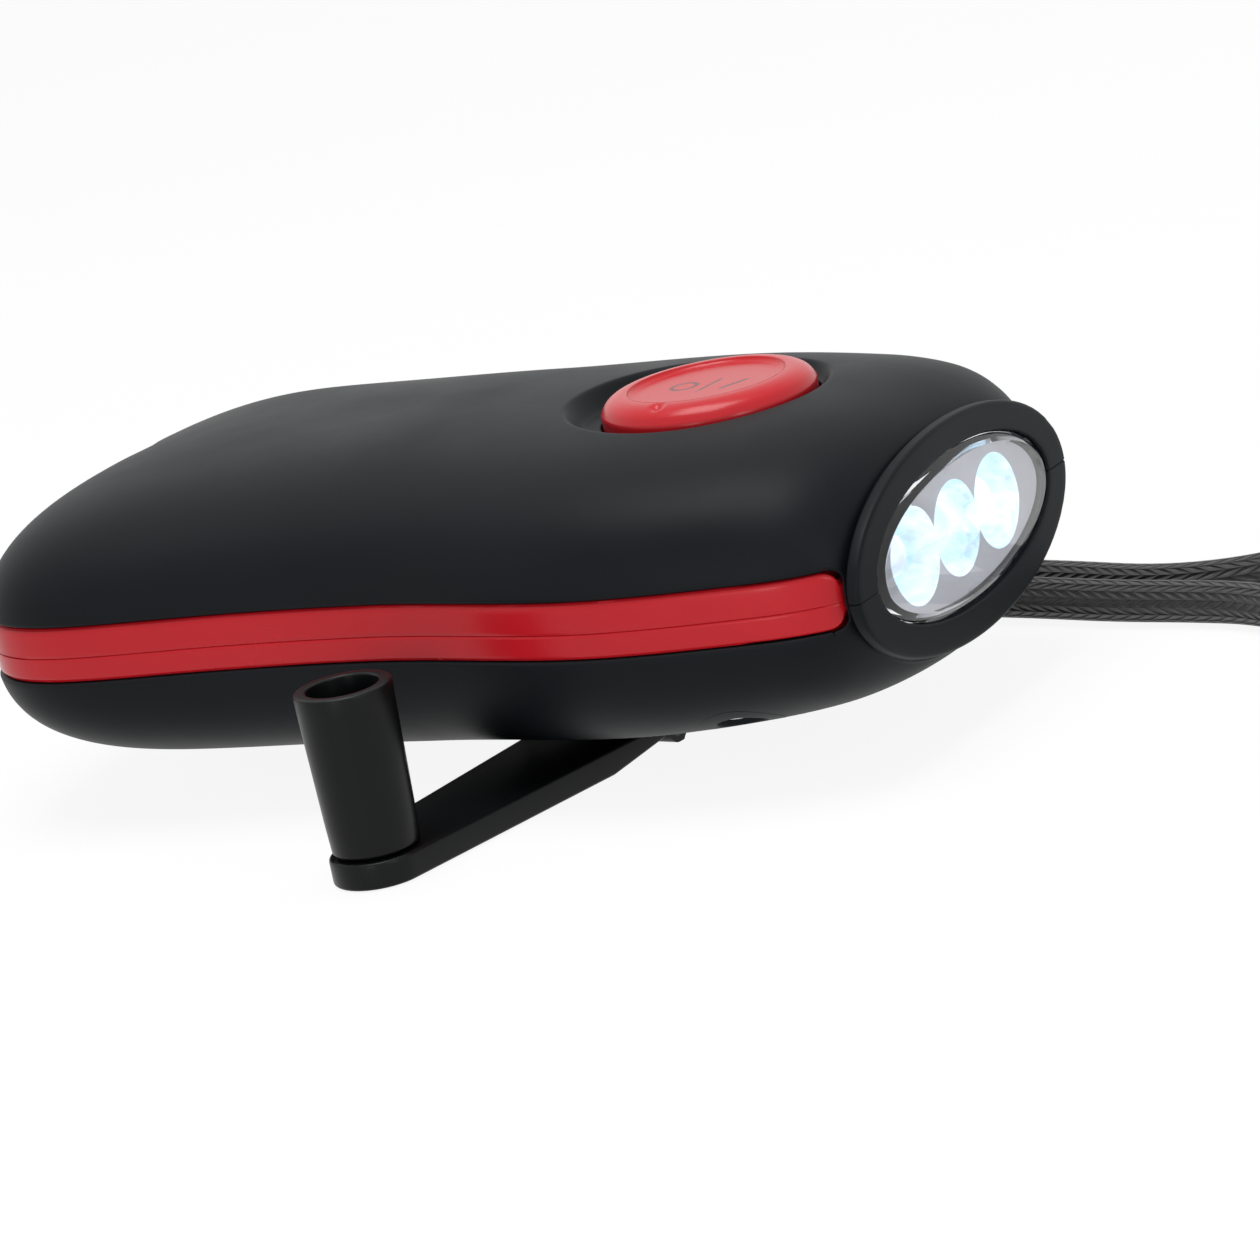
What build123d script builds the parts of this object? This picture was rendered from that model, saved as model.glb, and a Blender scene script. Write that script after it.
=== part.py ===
"""Hand crank flashlight: pebble-shaped body, three-lamp head, folding crank and wrist strap.

Millimetres. The origin is on the crank axis at the underside of the crank hub, +X points out of
the lens, +Y to the torch's left and +Z up.
"""

import os
from math import acos, cos, pi, radians, sin, sqrt, tan

from build123d import *

os.makedirs("parts", exist_ok=True)

# Body outline. The controls are at quarter points from the rear end to the lens.
seam_z = 18.5
rear_x = -62.7
lens_x = 38.0
body_front_x = 35.8
half_widths = [37.0, 29.6, 27.0, 28.4, 22.9]
rises = [21.0, 16.8, 15.6, 15.2, 13.8]
drops = [18.2, 15.4, 15.4, 15.0, 12.4]
width_round, width_power = 31.4, 2.95
rise_round, rise_power = 75.6, 2.8
drop_round, drop_power = 34.0, 2.27
nose_round = 12.0
nose_rise, nose_drop = 4.4, 2.2
section_power = 2.85
station_steps = [
    0.2, 0.7, 1.7, 3.6, 6.5, 11.0, 18.0, 28.0, 40.0, 52.0, 64.0, 75.0, 84.0, 89.0, 93.0, 96.0, 98.5,
]

# Skins: black rubber over red shells.
grip_thickness = 1.2
shell_wall = 1.6
band_recess = 0.35
band_top, band_bottom = 3.0, 2.4
band_gap = 0.12
band_front_x = 34.6
band_corner = 1.1
cavity_inset = grip_thickness + shell_wall

# Lamp head, centred a little above the seam.
head_z = 18.9
bezel_half_width, bezel_half_height = 23.0, 10.6
bezel_z = 18.2
bezel_front_x = 38.4
lens_half_width, lens_half_height = 18.4, 7.5
plate_half_width, plate_half_height = 17.4, 6.5
plate_front_x = 37.5
reflector_back_x = 28.6
front_wall_x = body_front_x - grip_thickness
lamp_z = 18.7
lamp_pitch = 8.5
cup_radius, cup_floor_radius = 4.45, 2.65
lamp_radius, lamp_flange_radius = 2.5, 2.9
lamp_board_thickness = 1.6

# Button and its dish.
button_x = 13.6
button_radius = 10.5
button_gap = 0.35
dish_x = 12.7
dish_radius = 13.3
dish_floor_z = 32.5
button_edge_z = 33.2
button_crown_z = 34.6
button_disc_radius = 7.0
button_disc_z = 34.15
flange_radius = 11.4
flange_z = 28.9

# Crank. The arm points 81 degrees round from the rear, towards the right side.
arm_angle = 180.0 + 81.4
arm_length = 41.3
arm_thickness = 2.6
hub_radius = 7.6
hinge_reach = 4.4
hinge_pin_radius = 0.7
running_gap = 0.05
ear_outer, ear_inner = 6.9, 4.9
arm_hub_half_width, arm_knob_radius = 6.9, 4.6
shaft_radius = 3.6
recess_radius, recess_depth = 13.0, 0.8
knob_top_radius, knob_foot_radius, knob_bore_radius = 4.65, 4.1, 3.4
knob_top_z = 18.5
knob_foot_z = arm_thickness + 0.15
knob_floor = 4.4
post_radius = 2.0
pocket_radius = 5.4
pocket_top_z = 19.4
pocket_wall = 1.2

# Gear train: crank gear, compound gear, rotor.
coarse_module, fine_module = 0.8, 0.6
tooth_addendum, tooth_backlash = 0.85, 0.2
crank_teeth, first_pinion_teeth, second_teeth, rotor_teeth = 42, 12, 36, 12
mesh_angle = -35.0
compound_x = -coarse_module * (crank_teeth + first_pinion_teeth) / 2
fine_centres = fine_module * (second_teeth + rotor_teeth) / 2
rotor_x = compound_x + fine_centres * cos(radians(mesh_angle))
rotor_y = fine_centres * sin(radians(mesh_angle))
coarse_low_z, coarse_high_z = 8.1, 11.1
fine_low_z, fine_high_z = 11.6, 13.6
plate_low_z, plate_high_z = 15.0, 16.4
axle_radius = 1.0
rotor_shaft_radius = 0.75
magnet_radius = 7.0
stator_bore, stator_radius = 7.6, 11.3
stator_low_z, stator_high_z = 16.9, 23.4
bridge_reach, bridge_leg = 12.7, 1.2

# Boards, cells and switch.
board_low_z, board_high_z = 21.2, 22.8
board_rear_x, board_front_x = 3.0, 24.0
board_half_width = 15.0
cell_radius, cell_height = 7.75, 2.7
cell_floor_z = 12.3
switch_side = 8.5
switch_top_z = 27.0

# Screws: (x, y) of the case screws, the gear plate screws and the board screws.
case_screw_places = [(-50.0, 15.0), (-50.0, -15.0), (22.0, 19.2), (22.0, -19.2)]
plate_screw_places = [(-29.0, -15.0), (-27.0, 14.5), (4.0, -21.2)]
board_screw_places = [(5.5, 12.0), (5.5, -12.0), (22.0, 12.0), (22.0, -12.0)]
case_boss_radius = 3.0
screw_radius = 1.1
small_screw_radius = 0.8

# Wrist strap.
strap_diameter = 4.3
string_diameter = 0.9
clamp_x, clamp_y = -49.0, 34.0
clamp_length, clamp_width, clamp_height = 10.0, 12.0, 5.2
leg_spacing = 5.5
lug_x, lug_z = -56.0, 28.3
lug_bar_radius = 0.5
lug_bar_length = 8.6
lug_wall = 1.1
strap_z = strap_diameter / 2
strap_route = [
    (-44.0, 31.25), (-30.0, 31.6), (-14.0, 32.5), (2.0, 32.7), (16.0, 31.9), (28.0, 30.1), (38.0, 27.9),
    (47.0, 26.9), (54.5, 25.6), (62.3, 21.0), (70.8, 16.6), (81.6, 18.0), (88.8, 26.2), (89.0, 37.4),
    (82.0, 46.0), (70.8, 48.0), (61.0, 44.0), (54.6, 37.2), (48.0, 33.2), (40.2, 32.4), (30.5, 34.9),
    (18.0, 37.3), (2.0, 38.1), (-14.0, 37.5), (-30.0, 37.0), (-44.0, 36.75),
]
string_route = [
    (-54.0, 32.9, 2.6), (-58.0, 32.6, 2.5), (-60.6, 28.6, 1.3), (-61.9, 22.6, 0.7), (-62.8, 16.6, 1.7),
    (-63.6, 11.2, 6.0), (-64.0, 6.9, 12.0), (-63.9, 3.6, 18.2), (-63.2, 1.6, 23.6), (-61.8, 0.9, 26.7),
    (-59.3, 0.8, 27.4), (-57.0, 0.7, 27.25), (-54.8, 0.5, 27.25), (-54.8, -0.5, 29.35), (-57.2, -0.7, 29.3),
    (-59.6, -0.7, 28.3), (-61.9, -0.6, 26.7), (-63.4, 0.0, 23.5), (-64.4, 1.9, 18.0), (-64.9, 5.2, 11.4),
    (-64.9, 9.8, 5.0), (-64.6, 15.6, 0.9), (-63.8, 22.4, 0.6), (-62.6, 29.0, 1.1), (-59.2, 34.6, 2.4),
    (-54.0, 35.1, 2.6),
]


def eased(controls, share):
    """Smooth value at a share from 0 to 1 along evenly spaced controls."""
    spans = len(controls) - 1
    span = min(int(share * spans), spans - 1)
    along = share * spans - span
    start, end = controls[span], controls[span + 1]
    before = controls[span - 1] if span > 0 else 2 * start - end
    after = controls[span + 2] if span + 2 <= spans else 2 * end - start
    rise_in, rise_out = (end - before) / 2, (after - start) / 2
    bend = 2 * start - 2 * end + rise_in + rise_out
    return start + along * (rise_in + along * (3 * (end - start) - 2 * rise_in - rise_out + along * bend))


def rounded(controls, share, from_rear, round_length, power, inset):
    """Control value less the inset, rounded off to nothing at the rear end."""
    left = max(0.0, 1 - from_rear / (round_length - inset))
    return (eased(controls, share) - inset) * (1 - left**power) ** (1 / power)


def nose_fall(x, fall):
    """How far the outline has come down over the nose at x."""
    along = min(1.0, max(0.0, (x - (body_front_x + 0.4 - nose_round)) / nose_round))
    return fall * (1 - sqrt(1 - along**2))


def section(x, inset):
    """Closed outline points of the body's cross section at x."""
    share = (x - rear_x) / (lens_x - rear_x)
    from_rear = x - rear_x - inset
    half_width = rounded(half_widths, share, from_rear, width_round, width_power, inset)
    rise = rounded(rises, share, from_rear, rise_round, rise_power, inset) - nose_fall(x, nose_rise)
    drop = rounded(drops, share, from_rear, drop_round, drop_power, inset) - nose_fall(x, nose_drop)
    points = []
    for step in range(24):
        turn = 2 * pi * step / 24
        across, up = cos(turn), sin(turn)
        y = half_width * abs(across) ** (2 / section_power) * (1 if across > 0 else -1)
        height = rise if up > 0 else drop
        z = height * abs(up) ** (2 / section_power) * (1 if up > 0 else -1)
        points.append((y, z))
    return points


def body_form(inset, front_x):
    """Solid pebble form set in from the outer skin."""
    travel = station_steps[-1]
    stations = [rear_x + inset + step * (front_x - rear_x - inset) / travel for step in station_steps]
    with BuildPart() as form:
        for x in stations:
            with BuildSketch(Plane(origin=(x, 0, seam_z), x_dir=(0, 1, 0), z_dir=(1, 0, 0))):
                with BuildLine():
                    Spline(*section(x, inset), periodic=True)
                make_face()
        loft()
    return form.part


def ellipse_block(half_width, half_height, centre_z, low_x, high_x):
    """Elliptical block along X."""
    with BuildPart() as block:
        with BuildSketch(Plane(origin=(low_x, 0, centre_z), x_dir=(0, 1, 0), z_dir=(1, 0, 0))):
            Ellipse(half_width, half_height)
        extrude(amount=high_x - low_x)
    return block.part


def band_slab(top, bottom, front):
    """Slab across the body that holds the red band, round at its front corners."""
    with BuildPart() as slab:
        with BuildSketch(Plane.XZ.offset(-60)):
            with Locations(((rear_x - 10 + front) / 2, seam_z + (top - bottom) / 2)):
                RectangleRounded(front - rear_x + 10, top + bottom, band_corner)
        extrude(amount=120)
    return slab.part


def half_space(upper):
    """Box that covers everything above or below the seam."""
    with BuildPart() as space:
        with Locations((0, 0, seam_z + (50 if upper else -50))):
            Box(300, 200, 100)
    return space.part


def rod(radius, low_z, high_z, x=0.0, y=0.0):
    """Upright round rod."""
    with BuildPart() as piece:
        with Locations((x, y, (low_z + high_z) / 2)):
            Cylinder(radius, high_z - low_z)
    return piece.part


def tube(outer, inner, low_z, high_z, x=0.0, y=0.0):
    """Upright round tube."""
    return rod(outer, low_z, high_z, x, y) - rod(inner, low_z - 1, high_z + 1, x, y)


def lying_rod(radius, low_x, high_x, y, z):
    """Round rod along X."""
    with BuildPart() as piece:
        with BuildSketch(Plane(origin=(low_x, y, z), x_dir=(0, 1, 0), z_dir=(1, 0, 0))):
            Circle(radius)
        extrude(amount=high_x - low_x)
    return piece.part


def gear_outline(module, teeth, turn):
    """Corner points of a gear with short straight pieces for its involute flanks."""
    pitch_radius = module * teeth / 2
    backlash = tooth_backlash * module
    base_radius = pitch_radius * cos(radians(20))
    tip_radius = pitch_radius + tooth_addendum * module
    root_radius = pitch_radius - 1.2 * module

    def half_angle(radius):
        pressure = acos(min(1.0, base_radius / radius))
        standard = tan(radians(20)) - radians(20)
        flank = standard - (tan(pressure) - pressure)
        return pi / (2 * teeth) - backlash / (2 * pitch_radius) + flank

    flank_low, flank_high = max(base_radius, root_radius + 0.05), (pitch_radius + tip_radius) / 2
    levels = [flank_low, pitch_radius, flank_high, tip_radius]
    points = []
    for tooth in range(teeth):
        centre = radians(turn) + 2 * pi * tooth / teeth
        foot = half_angle(levels[0]) * 0.92
        side = [(root_radius, -foot)] + [(level, -half_angle(level)) for level in levels]
        side += [(radius, -angle) for radius, angle in reversed(side)]
        points += [(radius * cos(centre + angle), radius * sin(centre + angle)) for radius, angle in side]
    return points


def gear(module, teeth, turn, low_z, high_z, x=0.0, y=0.0):
    """Solid spur gear."""
    with BuildPart() as wheel:
        with BuildSketch(Plane.XY.offset(low_z)):
            with BuildLine(Location((x, y))):
                Polyline(*gear_outline(module, teeth, turn), close=True)
            make_face()
        extrude(amount=high_z - low_z)
    return wheel.part


def cord_radii(route):
    """Largest arc for each corner of a cord's route, 0.45 of its shorter run."""
    radii = []
    for before, corner, after in zip(route, route[1:], route[2:]):
        inward, outward = Vector(*corner) - Vector(*before), Vector(*after) - Vector(*corner)
        half_turn = radians(inward.get_angle(outward)) / 2
        radii.append(0.45 * min(inward.length, outward.length) / tan(half_turn))
    return radii


def cord_tube(route, diameter, name):
    """Round tube along a route of straight runs joined by arcs, with its measures printed."""
    radii = cord_radii(route)
    with BuildPart() as cord:
        with BuildLine() as path:
            FilletPolyline(*route, radius=radii)
        track = path.wires()[0]
        with BuildSketch(Plane(origin=track @ 0, z_dir=track % 0)):
            Circle(diameter / 2)
        sweep(path=track)
    expected = track.length * pi * diameter**2 / 4
    print(name, "length", round(track.length, 1), "volume share", round(cord.part.volume / expected, 4))
    print(name, "radii in diameters", [round(radius / diameter, 1) for radius in radii])
    return cord.part


def screw_group(places, head_radius, head_end, head_seat, shank_radius, tip):
    """Alike upright screws, each from the outer end of its head to its tip."""
    with BuildPart() as screws:
        for x, y in places:
            add(rod(head_radius, min(head_end, head_seat), max(head_end, head_seat), x, y))
            add(rod(shank_radius, min(head_seat, tip), max(head_seat, tip), x, y))
    return screws.part


def lug_hollow(wall):
    """Two joined balls that hollow out the strap's lug, grown by a wall."""
    with BuildPart() as hollow:
        with Locations((lug_x, 0, lug_z + 1.9)):
            Sphere(3.8 + wall)
        with Locations((lug_x - 3.4, 0, lug_z + 0.2)):
            Sphere(2.4 + wall)
    return hollow.part


def save(piece, name):
    """Write one named piece."""
    piece.label = name
    export_step(piece, f"parts/{name}.step")


upper_space = half_space(True)
lower_space = half_space(False)
outer_form = body_form(0.0, body_front_x)
band_form = body_form(band_recess, body_front_x - 0.1)
core_form = body_form(grip_thickness, front_wall_x)
cavity_form = body_form(cavity_inset, front_wall_x - shell_wall)
band_block = band_slab(band_top, band_bottom, band_front_x)
band_clearance = band_slab(band_top + band_gap, band_bottom + band_gap, band_front_x + band_gap)
band_ring = band_form & band_block
plate_block = ellipse_block(plate_half_width, plate_half_height, head_z, 20.0, plate_front_x)
lens_bore = ellipse_block(lens_half_width, lens_half_height, head_z, front_wall_x, 50.0)
bezel_block = ellipse_block(bezel_half_width, bezel_half_height, bezel_z, front_wall_x, bezel_front_x)
lug_bar = Pos(lug_x, 0, lug_z) * Rot(90, 0, 0) * Cylinder(lug_bar_radius, lug_bar_length)
lug_pocket = lug_hollow(0.0)
lug_boss = lug_hollow(lug_wall) & core_form

with BuildPart() as upper_posts:
    for x, y in case_screw_places:
        add(rod(case_boss_radius, seam_z, 40.0, x, y))
    for x, y in board_screw_places:
        add(rod(1.8, board_high_z, 40.0, x, y))
    add(core_form, mode=Mode.INTERSECT)

# Red upper shell: roof, board posts, screw posts and the upper half of the band.
with BuildPart() as upper_shell:
    add(core_form)
    add(band_ring)
    add(upper_space, mode=Mode.INTERSECT)
    add(cavity_form, mode=Mode.SUBTRACT)
    add(upper_posts.part)
    for x, y in case_screw_places:
        add(rod(screw_radius, seam_z - 1, seam_z + 6, x, y), mode=Mode.SUBTRACT)
    for x, y in board_screw_places:
        add(rod(small_screw_radius, board_high_z - 1, board_high_z + 4, x, y), mode=Mode.SUBTRACT)
    add(rod(dish_radius + 1.2, dish_floor_z - 0.7, 40, dish_x), mode=Mode.SUBTRACT)
    add(rod(button_radius + button_gap, 20, 40, button_x), mode=Mode.SUBTRACT)
    add(plate_block, mode=Mode.SUBTRACT)
    add(lug_boss)
    add(lug_pocket, mode=Mode.SUBTRACT)
    add(lug_bar, mode=Mode.SUBTRACT)
save(upper_shell.part, "upper_shell")

# Red lower shell: floor, knob pocket, shaft boss and screw posts.
pocket_x = -arm_length
shaft_boss_top = coarse_low_z - 0.4
with BuildPart() as lower_posts:
    for x, y in case_screw_places:
        add(rod(case_boss_radius, 0, seam_z, x, y))
    for x, y in plate_screw_places:
        add(rod(2.2, 0, plate_low_z, x, y))
    add(rod(2.4, 0, coarse_low_z - 0.6, compound_x))
    add(rod(pocket_radius + pocket_wall, 0, pocket_top_z + pocket_wall, pocket_x))
    add(rod(shaft_radius + running_gap + 1.6, 0, shaft_boss_top))
    add(core_form, mode=Mode.INTERSECT)
with BuildPart() as lower_shell:
    add(core_form)
    add(band_ring)
    add(lower_space, mode=Mode.INTERSECT)
    add(cavity_form, mode=Mode.SUBTRACT)
    add(lower_posts.part)
    for x, y in case_screw_places:
        add(rod(2.4, 0, 9.0, x, y), mode=Mode.SUBTRACT)
        add(rod(screw_radius, 0, seam_z + 1, x, y), mode=Mode.SUBTRACT)
    for x, y in plate_screw_places:
        add(rod(small_screw_radius, plate_low_z - 5, plate_low_z + 1, x, y), mode=Mode.SUBTRACT)
    add(rod(axle_radius, 6.4, 20, compound_x), mode=Mode.SUBTRACT)
    add(rod(pocket_radius, 0, pocket_top_z, pocket_x), mode=Mode.SUBTRACT)
    add(rod(shaft_radius + running_gap, 0, 20), mode=Mode.SUBTRACT)
    add(plate_block, mode=Mode.SUBTRACT)
save(lower_shell.part, "lower_shell")

# Black rubber grips, each with its half of the bezel ring round the lens.
for name, space in (("upper_grip", upper_space), ("lower_grip", lower_space)):
    with BuildPart() as grip:
        add(outer_form)
        add(core_form, mode=Mode.SUBTRACT)
        add(band_clearance, mode=Mode.SUBTRACT)
        add(bezel_block)
        add(space, mode=Mode.INTERSECT)
        add(lens_bore, mode=Mode.SUBTRACT)
        if name == "upper_grip":
            add(rod(dish_radius + 1.2, dish_floor_z - 0.7, 33.0, dish_x) & core_form)
            with Locations((dish_x, 0, (dish_floor_z + 34.5) / 2)):
                Cone(dish_radius - 2.2, dish_radius + 1.2, 34.5 - dish_floor_z, mode=Mode.SUBTRACT)
            add(rod(button_radius + button_gap, 20, 40, button_x), mode=Mode.SUBTRACT)
            add(lug_pocket, mode=Mode.SUBTRACT)
            add(lug_bar, mode=Mode.SUBTRACT)
        else:
            for x, y in case_screw_places:
                add(rod(2.4, 0, 12, x, y), mode=Mode.SUBTRACT)
            add(rod(pocket_radius, 0, 12, pocket_x), mode=Mode.SUBTRACT)
            add(rod(recess_radius, 0, 3.15 + recess_depth), mode=Mode.SUBTRACT)
            add(rod(shaft_radius + 1.4, 0, 12), mode=Mode.SUBTRACT)
    save(grip.part, name)
save(lug_bar, "strap_bar")

# Lens, reflector plate with its joined cups, lamps and their board.
with BuildPart() as lens:
    add(ellipse_block(lens_half_width, lens_half_height, head_z, plate_front_x - 1.5, plate_front_x + 0.5))
    with BuildSketch(Plane(origin=(plate_front_x + 0.5, 0, head_z), x_dir=(0, 1, 0), z_dir=(1, 0, 0))):
        Ellipse(lens_half_width, lens_half_height)
    with BuildSketch(Plane(origin=(plate_front_x + 1.1, 0, head_z), x_dir=(0, 1, 0), z_dir=(1, 0, 0))):
        Ellipse(lens_half_width - 0.9, lens_half_height - 0.9)
    loft()
    add(plate_block, mode=Mode.SUBTRACT)
save(lens.part, "lens")

lamp_places = {"lamp_right": -lamp_pitch, "lamp_centre": 0.0, "lamp_left": lamp_pitch}
with BuildPart() as reflector:
    add(ellipse_block(plate_half_width, plate_half_height, head_z, reflector_back_x, plate_front_x))
    add(ellipse_block(lens_half_width, lens_half_height, head_z, front_wall_x, plate_front_x - 1.5))
    for y in lamp_places.values():
        with BuildSketch(Plane(origin=(reflector_back_x, y, lamp_z), x_dir=(0, 1, 0), z_dir=(1, 0, 0))):
            Circle(cup_floor_radius)
        with BuildSketch(Plane(origin=(plate_front_x, y, lamp_z), x_dir=(0, 1, 0), z_dir=(1, 0, 0))):
            Circle(cup_radius)
        loft(mode=Mode.SUBTRACT)
    for y in (-13.4, 13.4):
        add(lying_rod(1.3, reflector_back_x - 1.0, reflector_back_x, y, head_z))
save(reflector.part, "reflector")

lamp_board_x = reflector_back_x - 1.0
for name, y in lamp_places.items():
    with BuildPart() as lamp:
        add(lying_rod(lamp_flange_radius, lamp_board_x, reflector_back_x, y, lamp_z))
        add(lying_rod(lamp_radius, reflector_back_x, reflector_back_x + 5.0, y, lamp_z))
        with Locations((reflector_back_x + 5.0, y, lamp_z)):
            Sphere(lamp_radius)
    save(lamp.part, name)
with BuildPart() as lamp_board:
    add(ellipse_block(15.6, 5.6, head_z, lamp_board_x - lamp_board_thickness, lamp_board_x))
save(lamp_board.part, "lamp_board")

# Push button: crowned rim, sunk disc, hollow skirt, flange and stem.
with BuildPart() as button:
    with BuildSketch(Plane.XZ):
        with BuildLine():
            Polyline(
                (0, button_disc_z - 1.2), (0, button_disc_z), (button_disc_radius, button_disc_z),
                (button_disc_radius + 0.5, button_crown_z - 0.1),
            )
            Spline(
                (button_disc_radius + 0.5, button_crown_z - 0.1), (button_disc_radius + 1.3, button_crown_z),
                (button_radius - 0.7, button_edge_z + 0.75), (button_radius, button_edge_z - 0.2),
            )
            Polyline(
                (button_radius, button_edge_z - 0.2), (button_radius, flange_z + 1.0),
                (flange_radius, flange_z + 1.0), (flange_radius, flange_z),
                (button_radius - 1.2, flange_z), (button_radius - 1.2, button_disc_z - 1.2),
                (0, button_disc_z - 1.2),
            )
        make_face()
    revolve(axis=Axis.Z)
    add(rod(2.4, switch_top_z + 2.2, button_disc_z - 1.2))
save(Pos(button_x, 0, 0) * button.part, "button")
save(Pos(button_x, 0, 0) * rod(1.5, switch_top_z - 0.4, switch_top_z + 2.2), "switch_plunger")
with BuildPart() as switch_body:
    with Locations((button_x, 0, (board_high_z + switch_top_z) / 2)):
        Box(switch_side, switch_side, switch_top_z - board_high_z)
    add(rod(1.9, board_high_z + 1.2, switch_top_z + 1, button_x), mode=Mode.SUBTRACT)
save(switch_body.part, "switch_body")

spring_low_z, spring_high_z = switch_top_z, button_disc_z - 1.2
spring_wire, spring_radius = 0.5, 3.3
with BuildPart() as button_spring:
    with BuildLine() as coil:
        Helix(
            pitch=(spring_high_z - spring_low_z - spring_wire - 0.1) / 4,
            height=spring_high_z - spring_low_z - spring_wire - 0.1,
            radius=spring_radius,
            center=(button_x, 0, spring_low_z + spring_wire / 2 + 0.05),
        )
    with BuildSketch(Plane(origin=coil.line @ 0, z_dir=coil.line % 0)):
        Circle(spring_wire / 2)
    sweep(path=coil.line, is_frenet=True)
save(button_spring.part, "button_spring")

# Main board with the cells hanging under it.
with BuildPart() as main_board:
    with BuildSketch(Plane.XY.offset(board_low_z)):
        with Locations(((board_rear_x + board_front_x) / 2, 0)):
            RectangleRounded(board_front_x - board_rear_x, 2 * board_half_width, 1.5)
        with Locations(*board_screw_places):
            Circle(small_screw_radius, mode=Mode.SUBTRACT)
    extrude(amount=board_high_z - board_low_z)
save(main_board.part, "main_board")
for number, name in enumerate(("cell_lower", "cell_middle", "cell_upper")):
    low_z = cell_floor_z + number * cell_height
    with BuildPart() as cell:
        with Locations((button_x, 0, low_z + cell_height / 2)):
            Cylinder(cell_radius, cell_height)
        fillet(cell.edges(), 0.3)
    save(cell.part, name)
cell_stack_top = cell_floor_z + 3 * cell_height
with BuildPart() as cell_holder:
    add(tube(cell_radius + 0.9, cell_radius, cell_floor_z - 0.7, board_low_z, button_x))
    add(rod(cell_radius + 0.9, cell_floor_z - 0.7, cell_floor_z, button_x))
save(cell_holder.part, "cell_holder")
save(rod(5.0, cell_stack_top, board_low_z, button_x), "cell_contact")
chips = [(7.5, -7.5, 4.0, 5.0, 1.6), (20.5, 8.0, 3.0, 2.4, 1.2), (20.5, -6.5, 3.0, 2.4, 1.2)]
with BuildPart() as board_chips:
    for x, y, length, width, height in chips:
        with Locations((x, y, board_high_z + height / 2)):
            Box(length, width, height)
save(board_chips.part, "board_chips")

# Crank gear train.
drive_square = 4.6
with BuildPart() as drive_gear:
    add(gear(coarse_module, crank_teeth, 180.0, coarse_low_z, coarse_high_z))
    with Locations(Location((0, 0, coarse_low_z), (0, 0, arm_angle))):
        Box(drive_square, drive_square, 20, mode=Mode.SUBTRACT)
save(drive_gear.part, "drive_gear")
with BuildPart() as hub_screw:
    add(rod(3.1, coarse_high_z, coarse_high_z + 0.5))
    add(rod(1.9, coarse_high_z + 0.5, coarse_high_z + 1.6))
    add(rod(small_screw_radius, coarse_high_z - 5, coarse_high_z))
save(hub_screw.part, "hub_screw")
with BuildPart() as compound_gear:
    pinion_turn, pinion_low_z = 180.0 / first_pinion_teeth, coarse_low_z - 0.2
    add(gear(coarse_module, first_pinion_teeth, pinion_turn, pinion_low_z, fine_low_z, compound_x))
    add(gear(fine_module, second_teeth, mesh_angle, fine_low_z, fine_high_z, compound_x))
    add(rod(2.6, fine_high_z, plate_low_z - 0.2, compound_x))
    add(rod(axle_radius + running_gap, 0, 30, compound_x), mode=Mode.SUBTRACT)
save(compound_gear.part, "compound_gear")
save(rod(axle_radius, 6.4, plate_high_z, compound_x), "gear_axle")
with BuildPart() as rotor_pinion:
    rotor_turn, pinion_high_z = mesh_angle + 180.0 + 180.0 / rotor_teeth, fine_high_z + 0.4
    add(gear(fine_module, rotor_teeth, rotor_turn, fine_low_z - 0.1, pinion_high_z, rotor_x, rotor_y))
    add(rod(1.8, pinion_high_z, plate_low_z - 0.2, rotor_x, rotor_y))
    add(rod(rotor_shaft_radius, 0, 30, rotor_x, rotor_y), mode=Mode.SUBTRACT)
save(rotor_pinion.part, "rotor_pinion")
save(rod(rotor_shaft_radius, fine_low_z - 0.1, stator_high_z + 1.4, rotor_x, rotor_y), "rotor_shaft")
magnet_low_z, magnet_high_z = stator_low_z + 0.3, stator_high_z - 0.3
rotor_magnet = tube(magnet_radius, rotor_shaft_radius, magnet_low_z, magnet_high_z, rotor_x, rotor_y)
save(rotor_magnet, "rotor_magnet")

# Fixed parts of the generator: gear plate, yoke, coil and bridge.
with BuildPart() as gear_plate:
    with BuildSketch(Plane.XY.offset(plate_low_z)):
        with BuildLine():
            Polyline(
                (-32, -18), (-32, 17.5), (-23.5, 17.5), (1.5, 8), (7.2, -17.5), (7.2, -23.2),
                (-4, -23.2), (-20, -21.5), close=True,
            )
        make_face()
        with Locations(*plate_screw_places):
            Circle(small_screw_radius, mode=Mode.SUBTRACT)
        with Locations((compound_x, 0)):
            Circle(axle_radius, mode=Mode.SUBTRACT)
        with Locations((rotor_x, rotor_y)):
            Circle(rotor_shaft_radius + running_gap, mode=Mode.SUBTRACT)
    extrude(amount=plate_high_z - plate_low_z)
save(gear_plate.part, "gear_plate")
yoke_wall = 0.7
coil_outer, coil_inner = stator_radius - yoke_wall, stator_bore + 0.5
coil_low_z, coil_high_z = stator_low_z + yoke_wall, stator_high_z - yoke_wall
with BuildPart() as stator_yoke:
    add(tube(stator_radius, stator_bore, plate_high_z, stator_high_z, rotor_x, rotor_y))
    add(tube(coil_outer, stator_bore - 1, coil_low_z, coil_high_z, rotor_x, rotor_y), mode=Mode.SUBTRACT)
save(stator_yoke.part, "stator_yoke")
save(tube(coil_outer, coil_inner, coil_low_z, coil_high_z, rotor_x, rotor_y), "stator_coil")
bridge_thickness = 1.2
leg_reach = bridge_reach - bridge_leg / 2
with BuildPart() as rotor_bridge:
    with Locations((rotor_x, rotor_y, stator_high_z + bridge_thickness / 2)):
        Box(5, 2 * bridge_reach, bridge_thickness)
    for side in (-1, 1):
        with Locations((rotor_x, rotor_y + side * leg_reach, (plate_high_z + stator_high_z) / 2)):
            Box(5, bridge_leg, stator_high_z - plate_high_z)
    add(rod(rotor_shaft_radius + running_gap, 10, 40, rotor_x, rotor_y), mode=Mode.SUBTRACT)
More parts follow.
